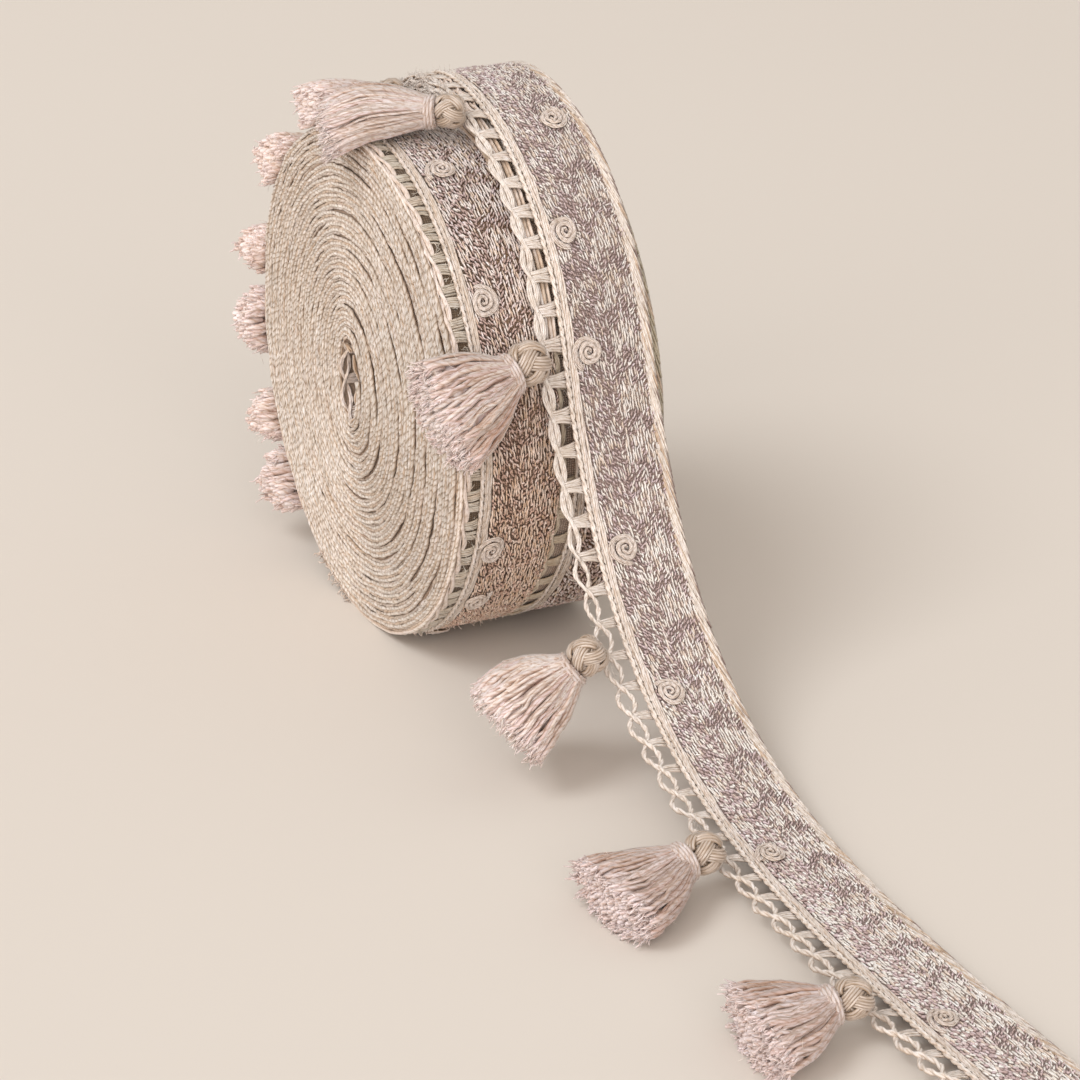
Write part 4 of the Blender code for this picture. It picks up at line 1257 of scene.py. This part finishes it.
def tassel(number, centre, end, wide, half_width, half_thick, belly, strands, front, hang,
           tail=1.0):
    seed = 200 + int(number)
    r = np.random.default_rng(seed)
    axis = unit(end - centre)
    wide = unit(wide - axis * wide.dot(axis))
    thin = np.cross(axis, wide)
    if thin.dot(belly) < 0:
        thin = -thin
    lift = np.linalg.norm(belly)
    big = HEAD_RADIUS.get(number, 3.7)
    start = centre + axis * (big - 0.65)
    length = np.linalg.norm(end - start)

    head = Bag()
    knot(head, centre, -axis, wide, seed, big, 5 if front else 3, 130 if front else 90)
    # yarn loop from the knot to the ladder
    if hang is not None:
        for k in range(4):
            t = np.linspace(0, 1, 9)[:, None]
            a = centre - axis * 3.0 + wide * (k - 1.5) * 0.5
            b = hang + wide * (k - 1.5) * 0.7
            p = a + (b - a) * t + np.array([0, 0, 1.0]) * np.sin(np.pi * t) * 0.5
            tube(head, p, 0.34, OFF_WHITE * 0.97, sides=4)
    head.make("tassel_head_yarn_" + number, M_HEAD, "knot_cord", "tassel_head_" + number)

    skirt = Bag()
    # neck wrap
    turns = 4.7
    neck = 3.3 + 0.85 * (big - 3.7)
    t = np.linspace(0, turns * 2 * np.pi, int(turns * 18))
    along = 0.2 + 0.76 * t / (2 * np.pi)
    rr = neck + 0.22 * np.sin(np.pi * np.clip(along / 3.3, 0, 1))
    p = (start + axis * along[:, None] + wide * (np.cos(t) * rr * 1.08)[:, None]
         + thin * (np.sin(t) * rr)[:, None])
    tube(skirt, p, 0.46, mix(BLUSH, HEAD, 0.4) * 0.95, sides=5,
         ref=unit(p - start - axis * along[:, None]), shade=0.5)

    def section(share):
        grown = np.interp(share, SKIRT_ROWS[:, 0], SKIRT_ROWS[:, 1])
        a = neck - 0.3 + (half_width - neck + 0.3) * grown
        b = neck - 0.3 + (half_thick - neck + 0.3) * grown
        mid = start + (end - start) * np.asarray(share)[..., None]
        mid = mid + belly * (4 * np.asarray(share) * (1 - np.asarray(share)))[..., None]
        return mid, a, b

    # inner mass, seen only between the strands: painted dark as the shade deep in the skirt, paler
    # towards its end
    share = np.linspace(0.02, 0.80 if front else 0.52, 10)
    mid, a, b = section(share)
    k = np.arange(16) * 2 * np.pi / 16
    slim = np.linspace(0.90, 0.84, 10)[:, None] * (1 + r.normal(0, 0.05, (10, 16)))
    ring = (mid[:, None] + wide * (slim * a[:, None] * np.cos(k))[..., None]
            + thin * (slim * b[:, None] * np.sin(k))[..., None])
    n, m = ring.shape[:2]
    i, j = np.meshgrid(np.arange(n - 1), np.arange(m), indexing="ij")
    jj = (j + 1) % m
    quads = np.stack([i * m + j, i * m + jj, (i + 1) * m + jj, (i + 1) * m + j], -1).reshape(-1, 4)
    v = np.concatenate([ring.reshape(-1, 3), mid[:1], mid[-1:] + axis * 0.8])
    j = np.arange(m)
    jj = (j + 1) % m
    tris = np.concatenate([np.stack([np.full(m, n * m), jj, j], -1),
                           np.stack([np.full(m, n * m + 1), (n - 1) * m + j, (n - 1) * m + jj], -1)])
    pale = np.clip((share - 0.4) / 0.35, 0, 1)
    tint = np.repeat(mix(BLUSH_DEEP_AND_SHADE * 0.95, BLUSH * 0.95, pale), m, axis=0)
    skirt.add(v, quads, tris, np.concatenate([tint, tint[:1], tint[-1:]]), v)

    rounding = 0.13 if front else 0.24
    tuft = PEACH if number in ("07", "08", "10") else BLUSH if front else mix(BLUSH, PEACH, 0.4)
    # painted light and shade: the same yarn is brightened or darkened tassel by tassel, and browned
    # on 04 and 05, for how light fell on each
    tuft = tuft * {"01": 0.92, "02": 0.96, "03": 1.08, "04": np.array([0.91, 0.88, 0.845]),
                   "05": np.array([0.91, 0.88, 0.85])}.get(number, 1.12)
    clumps = 26 if front else 16
    cphi = (np.arange(clumps) + r.uniform(-0.28, 0.28, clumps)) * 2 * np.pi / clumps
    pick = r.integers(0, clumps, strands)
    shell = r.random(strands) < 0.72
    phi0 = cphi[pick] + r.normal(0, 0.12, strands)
    rho = np.where(shell, 0.97 + r.normal(0, 0.025, strands), np.sqrt(r.uniform(0.1, 0.85, strands)))
    rho = rho * (1 + 0.05 * np.cos(clumps * 0.5 * phi0))
    points = 10 if front else 8
    t = np.linspace(0, 1, points)[None]
    out_to_side = (rho * np.cos(phi0)) ** 2
    full = np.clip(tail - rounding * out_to_side + r.normal(0, 0.03, strands), 0.6, 1.03)[:, None]
    sh = t * full
    mid, a, b = section(np.minimum(sh, 1.0))
    grow = np.clip(sh * 1.4, 0, 1)
    # clumps sway together, strands a little on their own
    both = wob(t * 20, ((19, 0.042), (9, 0.026)), seed + 3, (clumps,))[pick] * grow
    sway = r.normal(0, 0.06, (strands, 1)) * grow + both + wob(
        t * 20, ((13, 0.030), (6.5, 0.020)), seed, (strands,)) * grow
    phi = phi0[:, None] + sway
    fill = rho[:, None] + wob(t * 20, ((14, 0.025), (6, 0.015)), seed + 5, (strands,)) * grow
    # the clump's own strands wind about each other
    own = r.uniform(0, 2 * np.pi, (strands, 1))
    wind = 0.32 * grow
    p = (mid + wide * (a * fill * np.cos(phi) + wind * np.cos(own + 3 * sh))[..., None]
         + thin * (b * fill * np.sin(phi) + wind * np.sin(own + 3 * sh))[..., None])
    p = p + axis * np.maximum(sh - 1.0, 0)[..., None] * length
    droop = {"01": 3.0, "02": 0.8, "06": 1.2}.get(number, 0.0)
    loose = r.uniform(0.85, 1.15, (strands, 1))
    p[..., 2] -= droop * loose * np.clip((sh - 0.5) / 0.5, 0, 1) ** 2
    tone = r.random((strands, 1, 1))
    col = tuft * (0.86 + 0.2 * tone)
    col = np.where(r.random((strands, 1, 1)) < 0.25, mix(tuft, BLUSH_DEEP_AND_SHADE, 0.3) * 0.97, col)
    fade = np.clip((t - 0.72) / 0.25, 0, 1)[..., None]
    col = col * (1 - 0.5 * fade) + srgb(252, 231, 225) * 0.5 * fade
    # painted shade: strands deeper in the skirt are darker and browner, except at their ends
    inner = np.clip((rho - 0.62) / 0.3, 0.0, 1)[:, None, None]
    inner = inner + (1 - inner) * fade
    col = col * inner + BLUSH_DEEP_AND_SHADE * 0.98 * (1 - inner)
    radius = r.uniform(0.41, 0.60, (strands, 1)) * (0.70 + 0.30 * np.clip(sh * 2.5, 0, 1))
    if not front:
        radius = radius * 1.25
    radius = radius * (1 - 0.35 * np.clip((t - 0.92) / 0.08, 0, 1))
    tube(skirt, p, radius, col, sides=4, ref=unit(p - mid + 1e-6),
         shade=0.62 * (1 - 0.85 * fade[..., 0]), warm=WARM_SKIRT)
    # cut ends fill the end of the skirt
    n = 158 if front else 80
    k = np.arange(n) + 0.5
    q, ph = np.sqrt(k / n) * 0.94, k * 2.39996
    s1 = np.clip(tail - rounding * (q * np.cos(ph)) ** 2 - 0.02 * q + r.normal(0, 0.022, n),
                 0.6, 1.03)
    ends = []
    sag = droop * r.uniform(0.85, 1.15, n)
    for share in (s1 - 0.20, s1 - 0.08, s1):
        mid1, a1, b1 = section(np.minimum(share, 1.0))
        ends.append(mid1 + wide * (a1 * q * np.cos(ph))[:, None]
                    + thin * (b1 * q * np.sin(ph))[:, None]
                    + axis * (np.maximum(share - 1.0, 0) * length)[:, None]
                    + r.normal(0, 0.12, (n, 3)))
        ends[-1][:, 2] -= sag * np.clip((share - 0.5) / 0.5, 0, 1) ** 2
    tone = 0.92 + 0.1 * r.random((n, 1))
    # painted shade: each cut end is darker at its base, deeper in the skirt
    ecol = np.stack([mix(tuft, BLUSH_DEEP_AND_SHADE, 0.6) * tone, tuft * tone,
                     mix(tuft, srgb(252, 231, 225), 0.4) * tone], 1)
    tube(skirt, np.stack(ends, 1), np.array([0.64, 0.76, 0.46])[None] * (1.0 if front else 1.3),
         ecol, sides=4, ref=wide)
    # and splay into fibres
    fibres = 3 if front else 1
    tip, back = p[:, -1], p[:, -3]
    way = unit(tip - back)
    idx = np.repeat(np.arange(strands), fibres)
    count = len(idx)
    spread = r.normal(0, 0.34, (count, 3))
    reach = r.uniform(0.6, 1.9, (count, 1))
    q0 = tip[idx] - way[idx] * r.uniform(0.2, 1.8, (count, 1)) + r.normal(0, 0.26, (count, 3))
    q2 = q0 + (way[idx] + spread) * reach
    q1 = (q0 + q2) / 2 + r.normal(0, 0.16, (count, 3))
    path = np.stack([q0, q1, q2], 1)
    keep = (end + axis * 1.2 - path[:, -1]) @ axis > 0
    path = path[keep]
    fcol = mix(srgb(252, 231, 225), tuft, r.random(len(path)))
    tube(skirt, path, np.array([0.22, 0.21, 0.13])[None], fcol, sides=3)
    # strays along the sides
    pick = r.integers(0, strands, 40 if front else 14)
    spot = p[pick, r.integers(4, points, len(pick))]
    hairs(skirt, spot, axis + unit(spot - mid[0, 5]) * 0.5, seed + 9, (1.5, 4.5), 0.06,
          srgb(255, 246, 241), 0.3)
    obj = skirt.make("tassel_skirt_yarn_" + number, M_SKIRT, "tassel_yarn",
                     "tassel_skirt_" + number)
    return obj


def on_roll(x, angle, radius):
    a = math.radians(angle)
    return np.array([x, -radius * math.cos(a), CENTRE_Z + radius * math.sin(a)])


def build_tassels():
    made = []
    for (number, hx, ha, hr, out, ea, er, hw, ht) in ROLL_TASSELS:
        centre, end = on_roll(hx, ha, hr), on_roll(-out, ea, er)
        a = math.radians((ha + ea) / 2)
        round_way = np.array([0, math.sin(a), math.cos(a)])
        outward = np.array([0, -math.cos(a), math.sin(a)])
        front = number in ("01", "02")
        hang = on_roll(23.4, ha, min(hr, 68.0) - 0.5)
        if number == "01":
            hang = LOOSE.at(42.6, -5.4, -0.2)
        if number == "02":
            hang = LOOSE.at(111.9, -5.6, -0.2)
        tassel(number, centre, end, round_way, hw, ht, outward * 0.9, 236 if front else 110,
               front, hang, 1.0 if front else 0.88)
        made.append(number)
    for (number, hx, hy, hz, ex, ey, ez, hw, ht, lift, s) in FREE_TASSELS:
        centre, end = np.array([hx, hy, hz]), np.array([ex, ey, ez])
        wide = unit(np.cross(end - centre, [0, 0, 1.0]))
        tassel(number, centre, end, wide, hw, ht, np.array([0, 0, lift]), 236, True,
               LOOSE.at(s, -5.6, -0.2))


# ---- rosettes --------------------------------------------------------
def rosette(number, centre, outward, round_way, seed):
    r = np.random.default_rng(seed)
    z = unit(outward)
    x = unit(round_way - z * round_way.dot(z))
    y = np.cross(z, x)
    bag = Bag()
    turns = 2.75
    start = r.uniform(0, 2 * np.pi)
    stretch = np.array([1.10, 0.94])
    for k in range(4):
        t = np.linspace(0, turns * 2 * np.pi, 80)
        q = t / t[-1]
        o = k - 1.5
        rad = 0.34 + 2.80 * q + o * 0.30 * (0.35 + 0.65 * q)
        rad = rad * (1 + 0.06 * np.sin(2 * t + seed) + 0.04 * np.sin(3 * t))
        rad = rad * (1 + 0.22 * q ** 3 * np.cos(t / 2 + start) ** 8)
        h = 0.42 + 0.46 * np.sin(np.pi * np.clip(0.15 + 0.8 * q, 0, 1)) - 0.30 * q ** 3
        h = h - 0.09 * o * o + 0.08 * np.sin(5 * t + k)
        px = rad * np.cos(t + start) * stretch[0]
        py = rad * np.sin(t + start) * stretch[1]
        p = centre + x * px[:, None] + y * py[:, None] + z * h[:, None]
        c = mix(srgb(230, 211, 197), MAUVE_LIGHT, 0.25 + 0.2 * (k % 2)) * r.uniform(0.92, 1.0)
        tube(bag, p, 0.215 * (1 - 0.3 * (q < 0.06)), c, sides=4, ref=z, shade=0.5)
    name = "rosette_" + number
    return bag.make("rosette_yarn_" + number, M_ROSETTE, "rosette_cord", name)


def build_rosettes():
    made = []
    for number, s, u in FREE_ROSETTES:
        out = LOOSE.outward(s)
        along = LOOSE.at(s + 1, u) - LOOSE.at(s - 1, u)
        made.append(rosette(number, LOOSE.at(s, u, 0.25), out, along, 400 + int(number)))
    for number, x, angle in ROLL_ROSETTES:
        a = math.radians(angle)
        rosette(number, on_roll(x, angle, LANE1_RADIUS + 0.25),
                np.array([0, -math.cos(a), math.sin(a)]),
                np.array([0, math.sin(a), math.cos(a)]), 400 + int(number))
    return made


base, pieces = build_loose()
build_roll()
build_tassels()
pieces += build_rosettes()

total = 0
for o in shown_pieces():
    o.data.calc_loop_triangles()
    n = len(o.data.loop_triangles)
    total += n
    if n > 30000:
        print("piece", o.name, n)
